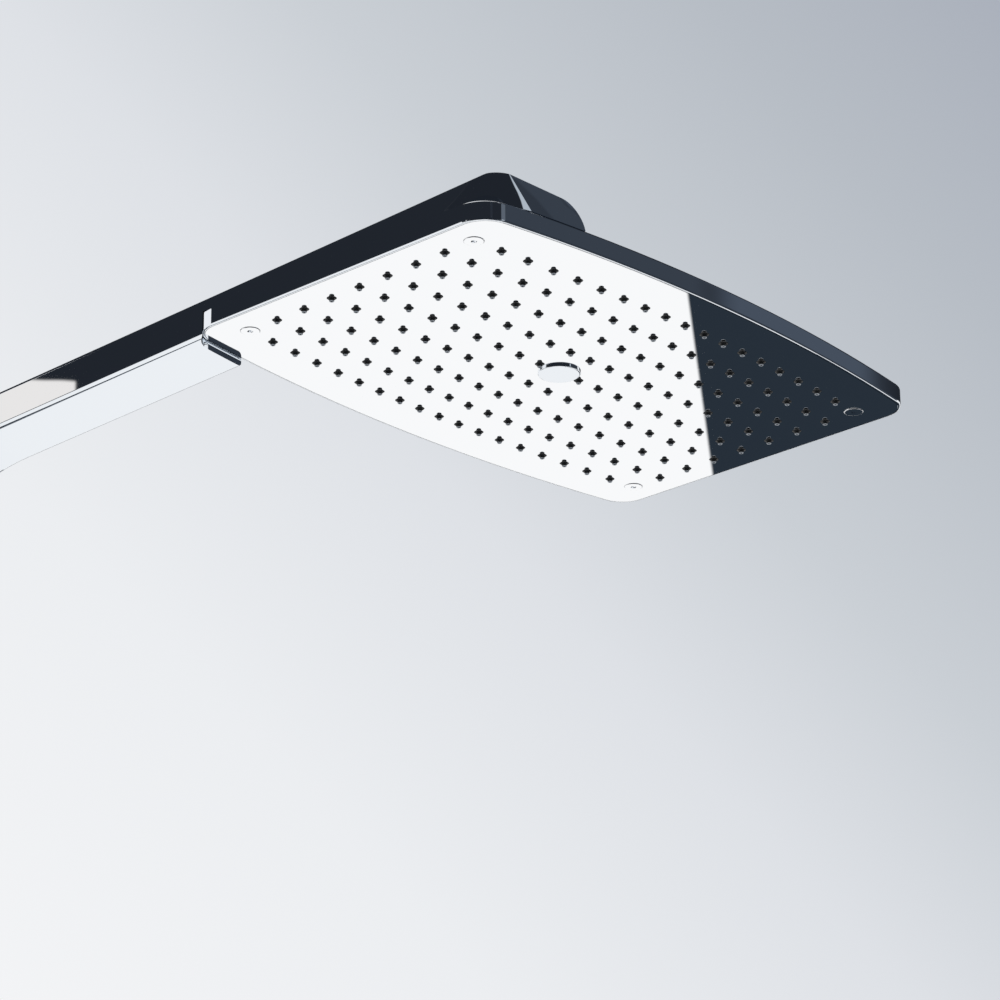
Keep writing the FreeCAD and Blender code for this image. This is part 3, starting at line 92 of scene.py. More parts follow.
# --- node building -----------------------------------------------------------------------------------
class Sock:
    """One output of a node, with arithmetic that adds Math nodes."""

    def __init__(self, graph: "Graph", socket: bpy.types.NodeSocket) -> None:
        """Keeps the graph and the socket that values are read from."""
        self.graph = graph
        self.socket = socket

    def _math(self, operation: str, first: Any, second: Any = None, third: Any = None) -> "Sock":
        """One Math node on up to three values.

        Args:
            operation: The Math node's operation.
            first: Its first value or link.
            second: Its second, where the operation has one.
            third: Its third, where the operation has one.

        Returns:
            The node's value.
        """
        given = {i: v for i, v in enumerate((first, second, third)) if v is not None}
        return self.graph.node("ShaderNodeMath", {"operation": operation}, given)[0]

    def __add__(self, other: Any) -> "Sock":
        """Sum with a value or another socket."""
        return self._math("ADD", self, other)

    def __radd__(self, other: Any) -> "Sock":
        """Sum with a number on the left."""
        return self._math("ADD", other, self)

    def __sub__(self, other: Any) -> "Sock":
        """Difference to a value or another socket."""
        return self._math("SUBTRACT", self, other)

    def __rsub__(self, other: Any) -> "Sock":
        """Difference from a number on the left."""
        return self._math("SUBTRACT", other, self)

    def __mul__(self, other: Any) -> "Sock":
        """Product with a value or another socket."""
        return self._math("MULTIPLY", self, other)

    def __rmul__(self, other: Any) -> "Sock":
        """Product with a number on the left."""
        return self._math("MULTIPLY", other, self)

    def __truediv__(self, other: Any) -> "Sock":
        """Quotient by a value or another socket."""
        return self._math("DIVIDE", self, other)

    def __rtruediv__(self, other: Any) -> "Sock":
        """Quotient of a number on the left."""
        return self._math("DIVIDE", other, self)

    def __abs__(self) -> "Sock":
        """Size without its sign."""
        return self._math("ABSOLUTE", self)

    def heading(self, ahead: "Sock") -> "Sock":
        """Angle, in degrees, of a point this far aside and that far ahead."""
        return self._math("ARCTAN2", self, ahead) * DEGREES

    def arcsine(self) -> "Sock":
        """Angle, in degrees, whose sine this is."""
        return self._math("ARCSINE", self) * DEGREES

    def over(self, limit: float) -> "Sock":
        """1 where the value is greater than a limit."""
        return self._math("GREATER_THAN", self, limit)

    def under(self, limit: Any) -> "Sock":
        """1 where the value is less than a limit."""
        return self._math("LESS_THAN", self, limit)

    def wrapped(self, low: float, high: float) -> "Sock":
        """The value brought into a range that repeats."""
        return self._math("WRAP", self, high, low)

    def step(self, low: float, high: float, start: float = 0.0, end: float = 1.0) -> "Sock":
        """Smooth step between two edges.

        Args:
            low: Edge at which the step starts.
            high: Edge at which it ends.
            start: Value before the step.
            end: Value after it.

        Returns:
            The stepped value.
        """
        settings = {"interpolation_type": "SMOOTHSTEP", "clamp": True}
        values = {"Value": self, "From Min": low, "From Max": high, "To Min": start, "To Max": end}
        return self.graph.node("ShaderNodeMapRange", settings, values)["Result"]


class Made:
    """A node that has been made, whose outputs are read by name or place."""

    def __init__(self, graph: "Graph", node: bpy.types.Node) -> None:
        """Keeps the graph and the node."""
        self.graph = graph
        self.node = node

    def __getitem__(self, key: Union[str, int]) -> Sock:
        """The output of that name or place."""
        return Sock(self.graph, self.node.outputs[key])


class Graph:
    """A shader or geometry node tree that is being built."""

    def __init__(self, tree: bpy.types.NodeTree) -> None:
        """Takes a tree and empties it."""
        self.tree = tree
        tree.nodes.clear()

    def feed(self, target: bpy.types.NodeSocket, value: Any) -> None:
        """Sets or links one input.

        Args:
            target: The input.
            value: A number, a colour, a vector, a Sock or a node's only result.
        """
        if isinstance(value, Made):
            value = value[0]
        if isinstance(value, Sock):
            self.tree.links.new(value.socket, target)
        elif isinstance(value, (tuple, list)) and target.type == "RGBA" and len(value) == 3:
            target.default_value = (*value, 1.0)
        else:
            target.default_value = value

    def node(self, kind: str, settings: Mapping[str, Any] | None = None,
             values: Mapping[Union[str, int], Any] | None = None) -> Made:
        """Makes any node.

        Args:
            kind: The node's type.
            settings: Its settings, set first. "stops" fills a colour ramp.
            values: Values or links of its inputs, by name or place.

        Returns:
            The node.
        """
        made = self.tree.nodes.new(kind)
        for name, value in (settings or {}).items():
            if name == "stops":
                self._fill_ramp(made.color_ramp, value)
            else:
                setattr(made, name, value)
        for key, value in (values or {}).items():
            self.feed(made.inputs[key], value)
        return Made(self, made)

    @staticmethod
    def _fill_ramp(ramp: bpy.types.ColorRamp, stops: Sequence[tuple[float, Colour]]) -> None:
        """Puts stops into a colour ramp.

        Args:
            ramp: The ramp, which has two stops to start with.
            stops: Place and colour of each stop, in order.
        """
        while len(ramp.elements) < len(stops):
            ramp.elements.new(1.0)
        for element, (place, colour) in zip(ramp.elements, stops):
            element.position = place
            element.color = (*colour, 1.0)

    def mix(self, share: Any, first: Any, second: Any) -> Sock:
        """Mixes two colours.

        Args:
            share: How much of the second shows.
            first: A colour or a link.
            second: A colour or a link.

        Returns:
            The mixed colour.
        """
        settings = {"data_type": "RGBA", "blend_type": "MIX"}
        return self.node("ShaderNodeMix", settings, {0: share, 6: first, 7: second})[2]

    def noise(self, place: Any, scale: float, detail: float = 2.0, roughness: float = 0.5) -> Sock:
        """Even noise from 0 to 1.

        Args:
            place: The vector that it is read at.
            scale: Grains per metre.
            detail: Number of finer layers.
            roughness: Weight of the finer layers.

        Returns:
            The noise's value.
        """
        values = {"Vector": place, "Scale": scale, "Detail": detail, "Roughness": roughness}
        return self.node("ShaderNodeTexNoise", {}, values)["Fac"]

    def stretched(self, place: Any, scale: Triple) -> Sock:
        """A vector scaled along each axis."""
        return self.node("ShaderNodeVectorMath", {"operation": "MULTIPLY"}, {0: place, 1: scale})[0]


# --- finishes ----------------------------------------------------------------------------------------
@dataclass(frozen=True)
class Finish:
    """What every finish shares: a name, a colour and a roughness."""

    name: str
    colour: Colour
    roughness: float

    def material(self) -> bpy.types.Material:
        """The finish as a material, made once; a plain one of that name is filled."""
        made = bpy.data.materials.get(self.name) or bpy.data.materials.new(self.name)
        if not made.get("finished"):
            made.use_nodes = True
            made.diffuse_color = (*self.colour, 1.0)
            graph = Graph(made.node_tree)
            place = graph.node("ShaderNodeTexCoord")["Object"]
            shader = self.shade(graph, place)
            graph.node("ShaderNodeOutputMaterial", {}, {"Surface": shader})
            made["finished"] = True
        return made

    def shade(self, graph: Graph, place: Sock) -> Sock:
        """Builds the surface.

        Args:
            graph: The material's tree.
            place: Object coordinates, in metres.

        Returns:
            The shader.
        """
        raise NotImplementedError

    @staticmethod
    def bumped(graph: Graph, height: Sock, distance: float) -> Sock:
        """A normal from a height.

        Args:
            graph: The material's tree.
            height: Height from 0 to 1.
            distance: What a height of 1 stands for, in metres.

        Returns:
            The bumped normal.
        """
        values = {"Strength": 1.0, "Distance": distance, "Height": height}
        return graph.node("ShaderNodeBump", {}, values)["Normal"]


@dataclass(frozen=True)
class PolishedPlating(Finish):
    """Mirror plating over polished brass: faint waviness, hairlines and a little dulling."""

    wave_scale: float = 26.0
    wave_height: float = 0.000004
    hairline_scale: float = 260.0
    hairline_stretch: Triple = (1.0, 14.0, 14.0)
    hairline_edges: Edges = (0.5, 0.85)
    hairline_roughness: float = 0.004
    bloom_scale: float = 9.0
    bloom_edges: Edges = (0.52, 0.78)
    bloom_share: float = 0.02
    bloom_roughness: float = 0.002
    bloom_colour: Colour = tone(205, 214, 226)

    def shade(self, graph: Graph, place: Sock) -> Sock:
        """Builds the surface.

        Args:
            graph: The material's tree.
            place: Object coordinates, in metres.

        Returns:
            The shader.
        """
        wave = graph.noise(place, self.wave_scale, detail=1.0)
        drawn = graph.stretched(place, self.hairline_stretch)
        hairlines = graph.noise(drawn, self.hairline_scale, detail=3.0, roughness=0.6)
        bloom = graph.noise(place, self.bloom_scale, detail=4.0, roughness=0.62)
        dulled = bloom.step(*self.bloom_edges)
        colour = graph.mix(dulled * self.bloom_share, self.colour, self.bloom_colour)
        scuffed = self.roughness + hairlines.step(*self.hairline_edges) * self.hairline_roughness
        rough = scuffed + dulled * self.bloom_roughness
        normal = self.bumped(graph, wave, self.wave_height)
        values = {"Base Color": colour, "Metallic": 1.0, "Roughness": rough, "Normal": normal}
        return graph.node("ShaderNodeBsdfPrincipled", {}, values)["BSDF"]


@dataclass(frozen=True)
class TurnedMetal(Finish):
    """Plain machined or drawn metal with fine tool lines and stains."""

    line_scale: float = 700.0
    line_stretch: Triple = (1.0, 1.0, 12.0)
    line_edges: Edges = (0.3, 0.8)
    line_roughness: float = 0.12
    line_height: float = 0.00001
    stain: Colour = (0.2, 0.15, 0.1)
    stain_scale: float = 45.0
    stain_edges: Edges = (0.5, 0.8)
    stain_share: float = 0.25
    stain_roughness: float = 0.3

    def shade(self, graph: Graph, place: Sock) -> Sock:
        """Builds the surface.

        Args:
            graph: The material's tree.
            place: Object coordinates, in metres.

        Returns:
            The shader.
        """
        drawn = graph.stretched(place, self.line_stretch)
        lines = graph.noise(drawn, self.line_scale, detail=3.0, roughness=0.6)
        patches = graph.noise(place, self.stain_scale, detail=4.0, roughness=0.6)
        stained = patches.step(*self.stain_edges) * self.stain_share
        colour = graph.mix(stained, self.colour, self.stain)
        lined = self.roughness + lines.step(*self.line_edges) * self.line_roughness
        rough = lined + stained * self.stain_roughness
        normal = self.bumped(graph, lines, self.line_height)
        values = {"Base Color": colour, "Metallic": 1.0, "Roughness": rough, "Normal": normal}
        return graph.node("ShaderNodeBsdfPrincipled", {}, values)["BSDF"]


@dataclass(frozen=True)
class Spangled(Finish):
    """Galvanised sheet with zinc spangles."""

    spangle_scale: float = 180.0
    spangle_edges: Edges = (0.35, 0.65)
    spangle_roughness: float = 0.14
    spangle_colour: Colour = tone(214, 218, 222)
    skin_scale: float = 900.0
    skin_height: float = 0.00002

    def shade(self, graph: Graph, place: Sock) -> Sock:
        """Builds the surface.

        Args:
            graph: The material's tree.
            place: Object coordinates, in metres.

        Returns:
            The shader.
        """
        values = {"Vector": place, "Scale": self.spangle_scale, "Randomness": 1.0}
        cells = graph.node("ShaderNodeTexVoronoi", {"feature": "F1"}, values)
        shades = graph.noise(cells["Position"], self.skin_scale, detail=1.0)
        spangle = shades.step(*self.spangle_edges)
        colour = graph.mix(spangle, self.colour, self.spangle_colour)
        rough = self.roughness + spangle * self.spangle_roughness
        skin = graph.noise(place, self.skin_scale, detail=3.0)
        normal = self.bumped(graph, skin, self.skin_height)
        inputs = {"Base Color": colour, "Metallic": 1.0, "Roughness": rough, "Normal": normal}
        return graph.node("ShaderNodeBsdfPrincipled", {}, inputs)["BSDF"]


@dataclass(frozen=True)
class Elastomer(Finish):
    """Moulded silicone or rubber, matt with a fine skin, with optional tips painted paler as light
    from below.
    """

    tip_z: float | None = None
    base_z: float | None = None
    # Colour below tip_z, paler than the silicone: painted light from below, not the material's own
    # tone.
    painted_lit_tip_colour: Colour = (0.36, 0.38, 0.40)
    skin_scale: float = 2600.0
    skin_roughness: float = 0.12
    skin_height: float = 0.000012
    patch_scale: float = 130.0
    patch_edges: Edges = (0.4, 0.8)
    patch_share: float = 0.35
    patch_lift: float = 1.9
    ior: float = 1.42

    def shade(self, graph: Graph, place: Sock) -> Sock:
        """Builds the surface.

        Args:
            graph: The material's tree.
            place: Object coordinates, in metres.

        Returns:
            The shader.
        """
        skin = graph.noise(place, self.skin_scale, detail=2.0)
        patches = graph.noise(place, self.patch_scale, detail=3.0)
        faded = patches.step(*self.patch_edges) * self.patch_share
        paler = tuple(channel * self.patch_lift for channel in self.colour)
        colour: Any = graph.mix(faded, self.colour, paler)
        # Painted light: below tip_z the colour fades to the paler tip colour, standing in for light
        # from below.
        if self.tip_z is not None and self.base_z is not None:
            height = graph.node("ShaderNodeSeparateXYZ", {}, {0: place})["Z"]
            low = height.step(self.tip_z, self.base_z, 1.0, 0.0)
            colour = graph.mix(low, colour, self.painted_lit_tip_colour)
        rough = self.roughness + skin * self.skin_roughness
        normal = self.bumped(graph, skin, self.skin_height)
        values = {"Base Color": colour, "Roughness": rough, "Normal": normal, "IOR": self.ior}
        return graph.node("ShaderNodeBsdfPrincipled", {}, values)["BSDF"]


@dataclass(frozen=True)
class Moulded(Finish):
    """Moulded plastic, ceramic or paint."""

    mottle: float = 0.08
    grain_scale: float = 1500.0
    grain_roughness: float = 0.1
    grain_height: float = 0.000008
    patch_scale: float = 120.0
    patch_shade: float = 0.6

    def shade(self, graph: Graph, place: Sock) -> Sock:
        """Builds the surface.

        Args:
            graph: The material's tree.
            place: Object coordinates, in metres.

        Returns:
            The shader.
        """
        grain = graph.noise(place, self.grain_scale, detail=3.0)
        patches = graph.noise(place, self.patch_scale, detail=3.0)
        darker = tuple(channel * self.patch_shade for channel in self.colour)
        colour = graph.mix(patches * self.mottle, self.colour, darker)
        rough = self.roughness + grain * self.grain_roughness
        normal = self.bumped(graph, grain, self.grain_height)
        values = {"Base Color": colour, "Roughness": rough, "Normal": normal}
        return graph.node("ShaderNodeBsdfPrincipled", {}, values)["BSDF"]


SPRAY_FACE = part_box("spray_plate")[0].z

CHROME = PolishedPlating("polished_chrome", (0.82, 0.855, 0.895), 0.008)
MIRROR = PolishedPlating("mirror_face", (0.93, 0.94, 0.955), 0.006,
                         wave_scale=14.0, wave_height=0.000002)
STAINLESS = TurnedMetal("stainless", (0.60, 0.61, 0.63), 0.16,
                        stain=(0.35, 0.35, 0.36), stain_share=0.2)
GALVANISED = Spangled("galvanised", (0.48, 0.50, 0.52), 0.34)
BRASS = TurnedMetal("brass", (0.72, 0.52, 0.24), 0.22, stain=(0.30, 0.17, 0.07))
COPPER = TurnedMetal("copper", (0.78, 0.40, 0.25), 0.2,
                     stain=(0.28, 0.12, 0.07), stain_share=0.4)
# The silicone's paler colour below tip_z is painted light from below on the nozzle tips.
SILICONE = Elastomer("silicone", (0.008, 0.009, 0.010), 0.42,
                     tip_z=SPRAY_FACE - 1.55 * MM, base_z=SPRAY_FACE - 1.3 * MM)
SEAL_RUBBER = Elastomer("seal_rubber", (0.018, 0.018, 0.019), 0.6)
CERAMIC = Moulded("ceramic", (0.86, 0.86, 0.83), 0.3)
WHITE_PLASTIC = Moulded("white_plastic", (0.84, 0.85, 0.86), 0.32)


class Slot(Enum):
    """Material slots of the record, each with its finish."""

    POLISHED_CHROME = CHROME
    MIRROR_FACE = MIRROR
    STAINLESS = STAINLESS
    GALVANISED = GALVANISED
    BRASS = BRASS
    COPPER = COPPER
    SILICONE = SILICONE
    SEAL_RUBBER = SEAL_RUBBER
    CERAMIC = CERAMIC
    WHITE_PLASTIC = WHITE_PLASTIC

    @property
    def label(self) -> str:
        """The slot's name in the record."""
        return self.value.name


def dress_node(node: str, finish: Finish) -> None:
    """Gives one piece of the frame its finish.

    Args:
        node: The piece's name.
        finish: Its finish.
    """
    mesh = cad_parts[node].data
    mesh.materials.clear()
    mesh.materials.append(finish.material())
    log.info("%s: %s", node, finish.name)


# --- repeated shapes ---------------------------------------------------------------------------------
class GeometryRecipe(Graph):
    """A Geometry Nodes tree with named inputs, which is turned into one plain mesh."""

    def __init__(self, name: str) -> None:
        """Makes an empty tree with its geometry output.

        Args:
            name: Name of the tree and of the piece.
        """
        super().__init__(bpy.data.node_groups.new(name, "GeometryNodeTree"))
        self.name = name
        self.tree.interface.new_socket(name="Geometry", in_out="OUTPUT",
                                       socket_type="NodeSocketGeometry")
        self.given: dict[str, Any] = {}
        self._entry: Made | None = None

    def size(self, name: str, value: Any, kind: str = "NodeSocketFloat") -> Sock:
        """Adds a named input.

        Args:
            name: The input's name.
            value: What the modifier gives it.
            kind: Its socket type.

        Returns:
            The value inside the tree.
        """
        item = self.tree.interface.new_socket(name=name, in_out="INPUT", socket_type=kind)
        self.given[item.identifier] = value
        if self._entry is None:
            self._entry = self.node("NodeGroupInput")
        return self._entry[name]

    def circle(self, sides: int, radius: Any) -> Sock:
        """A round curve with so many sides."""
        values = {"Resolution": sides, "Radius": radius}
        return self.node("GeometryNodeCurvePrimitiveCircle", {}, values)[0]

    def finish(self, geometry: Sock, finish: Finish) -> bpy.types.Object:
        """Closes the tree and turns it into a plain mesh with smooth faces.

        Args:
            geometry: The instances or mesh to keep.
            finish: The finish that it gets.

        Returns:
            The finished piece, at the origin.
        """
        solid = self.node("GeometryNodeRealizeInstances", {}, {"Geometry": geometry})[0]
        values = {"Geometry": solid, "Shade Smooth": True}
        shaded = self.node("GeometryNodeSetShadeSmooth", {}, values)[0]
        material = self.size("Finish", finish.material(), "NodeSocketMaterial")
        values = {"Geometry": shaded, "Material": material}
        dressed = self.node("GeometryNodeSetMaterial", {}, values)[0]
        self.node("NodeGroupOutput", {}, {"Geometry": dressed})
        piece = bpy.data.objects.new(self.name, bpy.data.meshes.new(self.name))
        bpy.context.scene.collection.objects.link(piece)
        modifier = piece.modifiers.new(self.name, "NODES")
        modifier.node_group = self.tree
        for identifier, value in self.given.items():
            modifier[identifier] = value
        depsgraph = bpy.context.evaluated_depsgraph_get()
        evaluated = piece.evaluated_get(depsgraph)
        mesh = bpy.data.meshes.new_from_object(evaluated, depsgraph=depsgraph)
        piece.modifiers.clear()
        piece.data = mesh
        mesh.name = self.name
        if not mesh.materials:
            mesh.materials.append(finish.material())
        return piece


def settle(piece: bpy.types.Object, body: str) -> None:
    """Puts a finished piece on its body.

    Args:
        piece: The piece, at the origin.
        body: The body that carries it.
    """
    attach(piece, body)
    log.info("%s rides on %s: %d faces", piece.name, body, len(piece.data.polygons))


# --- sub-assemblies ----------------------------------------------------------------------------------
@dataclass
class SubAssembly:
    """What every sub-assembly shares: the frame's pieces that it dresses."""

    nodes: Mapping[str, Finish] = field(default_factory=dict)

    def dress(self) -> None:
        """Gives the pieces of the frame their finishes."""
        for node, finish in self.nodes.items():
            dress_node(node, finish)

    def build(self) -> None:
        """Adds nothing; a sub-assembly with small repeated parts adds them here."""


@dataclass
class RainHead(SubAssembly):
    """Thin tray with its mirror face, nozzles, corner screws and centre insert."""

    columns: int = 19
    rows: int = 9
    corner_share: float = 0.99
    middle_share: float = 0.03
    spread: float = 0.093
    bow: float = 0.1076
    end_depth: float = 180.0 * MM
    margin_x: float = 16.6 * MM
    margin_y: float = 20.7 * MM
    tip_drop: float = 1.6 * MM
    lip_radius: float = 0.86 * MM
    lip_wire: float = 0.17 * MM
    lip_sides: int = 10
    wire_sides: int = 5
    nodes: Mapping[str, Finish] = field(default_factory=lambda: {
        "head_shell": CHROME, "spray_plate": MIRROR, "nozzle_mat": SILICONE, "face_screws": MIRROR,
        "centre_insert": CHROME, "head_screws": STAINLESS, "inlet_seal": SEAL_RUBBER,
        "flow_limiter": WHITE_PLASTIC})

    def build(self) -> None:
        """Adds the soft rolled lip round every jet."""
        low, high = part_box("head_shell")
        recipe = GeometryRecipe("nozzle_lips")
        half_u = recipe.size("Half width", (high.x - low.x) / 2.0 - self.margin_x)
        half_v = recipe.size("Half depth", self.end_depth / 2.0 - self.margin_y)
        spread = recipe.size("Spread", self.spread)
        bow = recipe.size("Bow", self.bow)
        sides = {"Size X": 2.0, "Size Y": 2.0, "Vertices X": self.columns, "Vertices Y": self.rows}
        grid = recipe.node("GeometryNodeMeshGrid", {}, sides)["Mesh"]
        place = recipe.node("GeometryNodeInputPosition")["Position"]
        axes = recipe.node("ShaderNodeSeparateXYZ", {}, {0: place})
        across, along = axes["X"], axes["Y"]
        corner = abs(across).over(self.corner_share) * abs(along).over(self.corner_share)
        middle = abs(across).under(self.middle_share) * abs(along).under(self.middle_share)
        kept = recipe.node("GeometryNodeDeleteGeometry", {"domain": "POINT"},
                           {"Geometry": grid, "Selection": corner + middle})[0]
        ground = {"X": half_u * across * (1.0 - spread + spread * abs(across)),
                  "Y": half_v * along * (1.0 + bow * (1.0 - across * across))}
        spot = recipe.node("ShaderNodeCombineXYZ", {}, ground)[0]
        points = recipe.node("GeometryNodeSetPosition", {}, {"Geometry": kept, "Position": spot})[0]
        ring = recipe.circle(self.lip_sides, self.lip_radius)
        wire = recipe.circle(self.wire_sides, self.lip_wire)
        lip = recipe.node("GeometryNodeCurveToMesh", {}, {"Curve": ring, "Profile Curve": wire})[0]
        lips = recipe.node("GeometryNodeInstanceOnPoints", {}, {"Points": points, "Instance": lip})[0]
        centre = ((low.x + high.x) / 2.0, (low.y + high.y) / 2.0, SPRAY_FACE - self.tip_drop)
        values = {"Geometry": lips, "Translation": centre}
        moved = recipe.node("GeometryNodeTransform", {}, values)[0]
        # The lips sit below the silicone's tip height, so they take its paler colour, which is painted
        # light from below.
        settle(recipe.finish(moved, SILICONE), "column")


@dataclass
class BarArm(SubAssembly):
    """Flat-bar arm and what clamps it into the panel."""

    nodes: Mapping[str, Finish] = field(default_factory=lambda: {
        "arm": CHROME, "arm_bracket": GALVANISED, "arm_clamp": GALVANISED, "clamp_screws": STAINLESS,
        "bracket_screws": STAINLESS, "arm_fitting": BRASS})


@dataclass
class WallPanel(SubAssembly):
    """Housing, caps and the wall plate behind them."""

    nodes: Mapping[str, Finish] = field(default_factory=lambda: {
        "column_housing": CHROME, "top_cap": CHROME, "bottom_cap": CHROME, "housing_screws": STAINLESS,
        "wall_plate": GALVANISED})


@dataclass
class WaterWorks(SubAssembly):
    """Mixer body, cartridges, riser and supplies inside the panel."""

    nodes: Mapping[str, Finish] = field(default_factory=lambda: {
        "mixer_body": BRASS, "mixer_screws": STAINLESS, "hot_inlet": BRASS, "cold_inlet": BRASS,
        "inlet_filters": STAINLESS, "inlet_seals": SEAL_RUBBER, "thermostat_cartridge": BRASS,
        "wax_element": COPPER, "flow_cartridge": BRASS, "fixed_disc": CERAMIC, "moving_disc": CERAMIC,
        "temperature_spindle": BRASS, "flow_spindle": BRASS, "riser_pipe": COPPER, "riser_nuts": BRASS,
        "riser_seals": SEAL_RUBBER})


@dataclass
class Controls(SubAssembly):
    """The two knobs with their collars, caps, screws and the safety button."""

    ribs: int = 54
    rib_radius: float = 1.1 * MM
    rib_length: float = 19.0 * MM
    rib_sunk: float = 0.4 * MM
    rib_sides: int = 10
    button_gap: float = 6.0 * MM
    coil_turns: float = 5.0
    coil_wire: float = 0.35 * MM
    coil_steps: int = 24
    coil_sides: int = 8
    nodes: Mapping[str, Finish] = field(default_factory=lambda: {
        "control_collars": CHROME, "temperature_knob": CHROME, "flow_knob": CHROME,
        "temperature_knob_cap": CHROME, "flow_knob_cap": CHROME, "temperature_knob_screw": STAINLESS,
        "flow_knob_screw": STAINLESS, "safety_button": CHROME, "safety_spring": STAINLESS})

    def build(self) -> None:
        """Adds the grip ribs of both knobs and the coil under the safety button."""
        self._ribs("temperature_knob", self.button_gap)
        self._ribs("flow_knob", 0.0)
        self._coil()

    def _coil(self) -> None:
        """Adds the safety button's spring as a coil and hides the frame's spring."""
        low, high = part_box("safety_spring")
        foot = ((low.x + high.x) / 2.0, (low.y + high.y) / 2.0, low.z)
        recipe = GeometryRecipe("safety_coil")
        wire = recipe.size("Wire radius", self.coil_wire)
        radius = recipe.size("Coil radius", (high.x - low.x) / 2.0 - self.coil_wire)
        height = recipe.size("Height", high.z - low.z - 2.0 * self.coil_wire)
        winding = {"Resolution": self.coil_steps, "Rotations": self.coil_turns,
                   "Start Radius": radius, "End Radius": radius, "Height": height}
        helix = recipe.node("GeometryNodeCurveSpiral", {}, winding)[0]
        section = recipe.circle(self.coil_sides, wire)
        drawn = {"Curve": helix, "Profile Curve": section, "Fill Caps": True}
        swept = recipe.node("GeometryNodeCurveToMesh", {}, drawn)[0]
        seat = (foot[0], foot[1], low.z + self.coil_wire)
        values = {"Geometry": swept, "Translation": seat}
        stood = recipe.node("GeometryNodeTransform", {}, values)[0]
        coil = recipe.finish(stood, STAINLESS)
        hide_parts("safety_spring")
        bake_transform(coil)

    def _ribs(self, knob: str, gap: float) -> None:
        """Adds the slim rounded ribs round one knob.

        Args:
            knob: The knob's name, which is also its body.
            gap: Half the width that stays free at the top, for the safety button.
        """
        low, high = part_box(knob)
        recipe = GeometryRecipe(f"{knob}_ribs")
        radius = recipe.size("Knob radius", (high.x - low.x) / 2.0 - self.rib_sunk)
        width = recipe.size("Rib radius", self.rib_radius)
        free = recipe.size("Free width", gap)
        values = {"Vertices": self.ribs, "Radius": radius}
        circle = recipe.node("GeometryNodeMeshCircle", {}, values)[0]
        place = recipe.node("GeometryNodeInputPosition")["Position"]
        axes = recipe.node("ShaderNodeSeparateXYZ", {}, {0: place})
        taken = abs(axes["X"]).under(free) * axes["Y"].over(0.0)
        spots = recipe.node("GeometryNodeDeleteGeometry", {"domain": "POINT"},
                            {"Geometry": circle, "Selection": taken})[0]
        round_bead = {"Segments": self.rib_sides, "Rings": self.rib_sides, "Radius": width}
        bead = recipe.node("GeometryNodeMeshUVSphere", {}, round_bead)["Mesh"]
        long_bead = (1.0, 1.0, self.rib_length / self.rib_radius / 2.0)
        drawn = {"Points": spots, "Instance": bead, "Scale": long_bead}
        ribs = recipe.node("GeometryNodeInstanceOnPoints", {}, drawn)[0]
        centre = tuple((low + high) / 2.0)
        turned = {"Geometry": ribs, "Translation": centre, "Rotation": (math.pi / 2.0, 0.0, 0.0)}
        stood = recipe.node("GeometryNodeTransform", {}, turned)[0]
        settle(recipe.finish(stood, CHROME), knob)


# --- studio ------------------------------------------------------------------------------------------
@dataclass(frozen=True)
class Card:
    """A soft-edged patch of the studio's surroundings, as bright or dark surfaces far away.

    Directions are in degrees: azimuth from +Y towards +X, and elevation above the horizon.
    """

    name: str
    azimuth: tuple[float, float]
    elevation: tuple[float, float]
    colour: Colour
    soft: float = 1.0
    lean: float = 0.0


@dataclass(frozen=True)
class Lamp:
    """A large round soft lamp."""

    name: str
    place: Triple
    width: float
    power: float


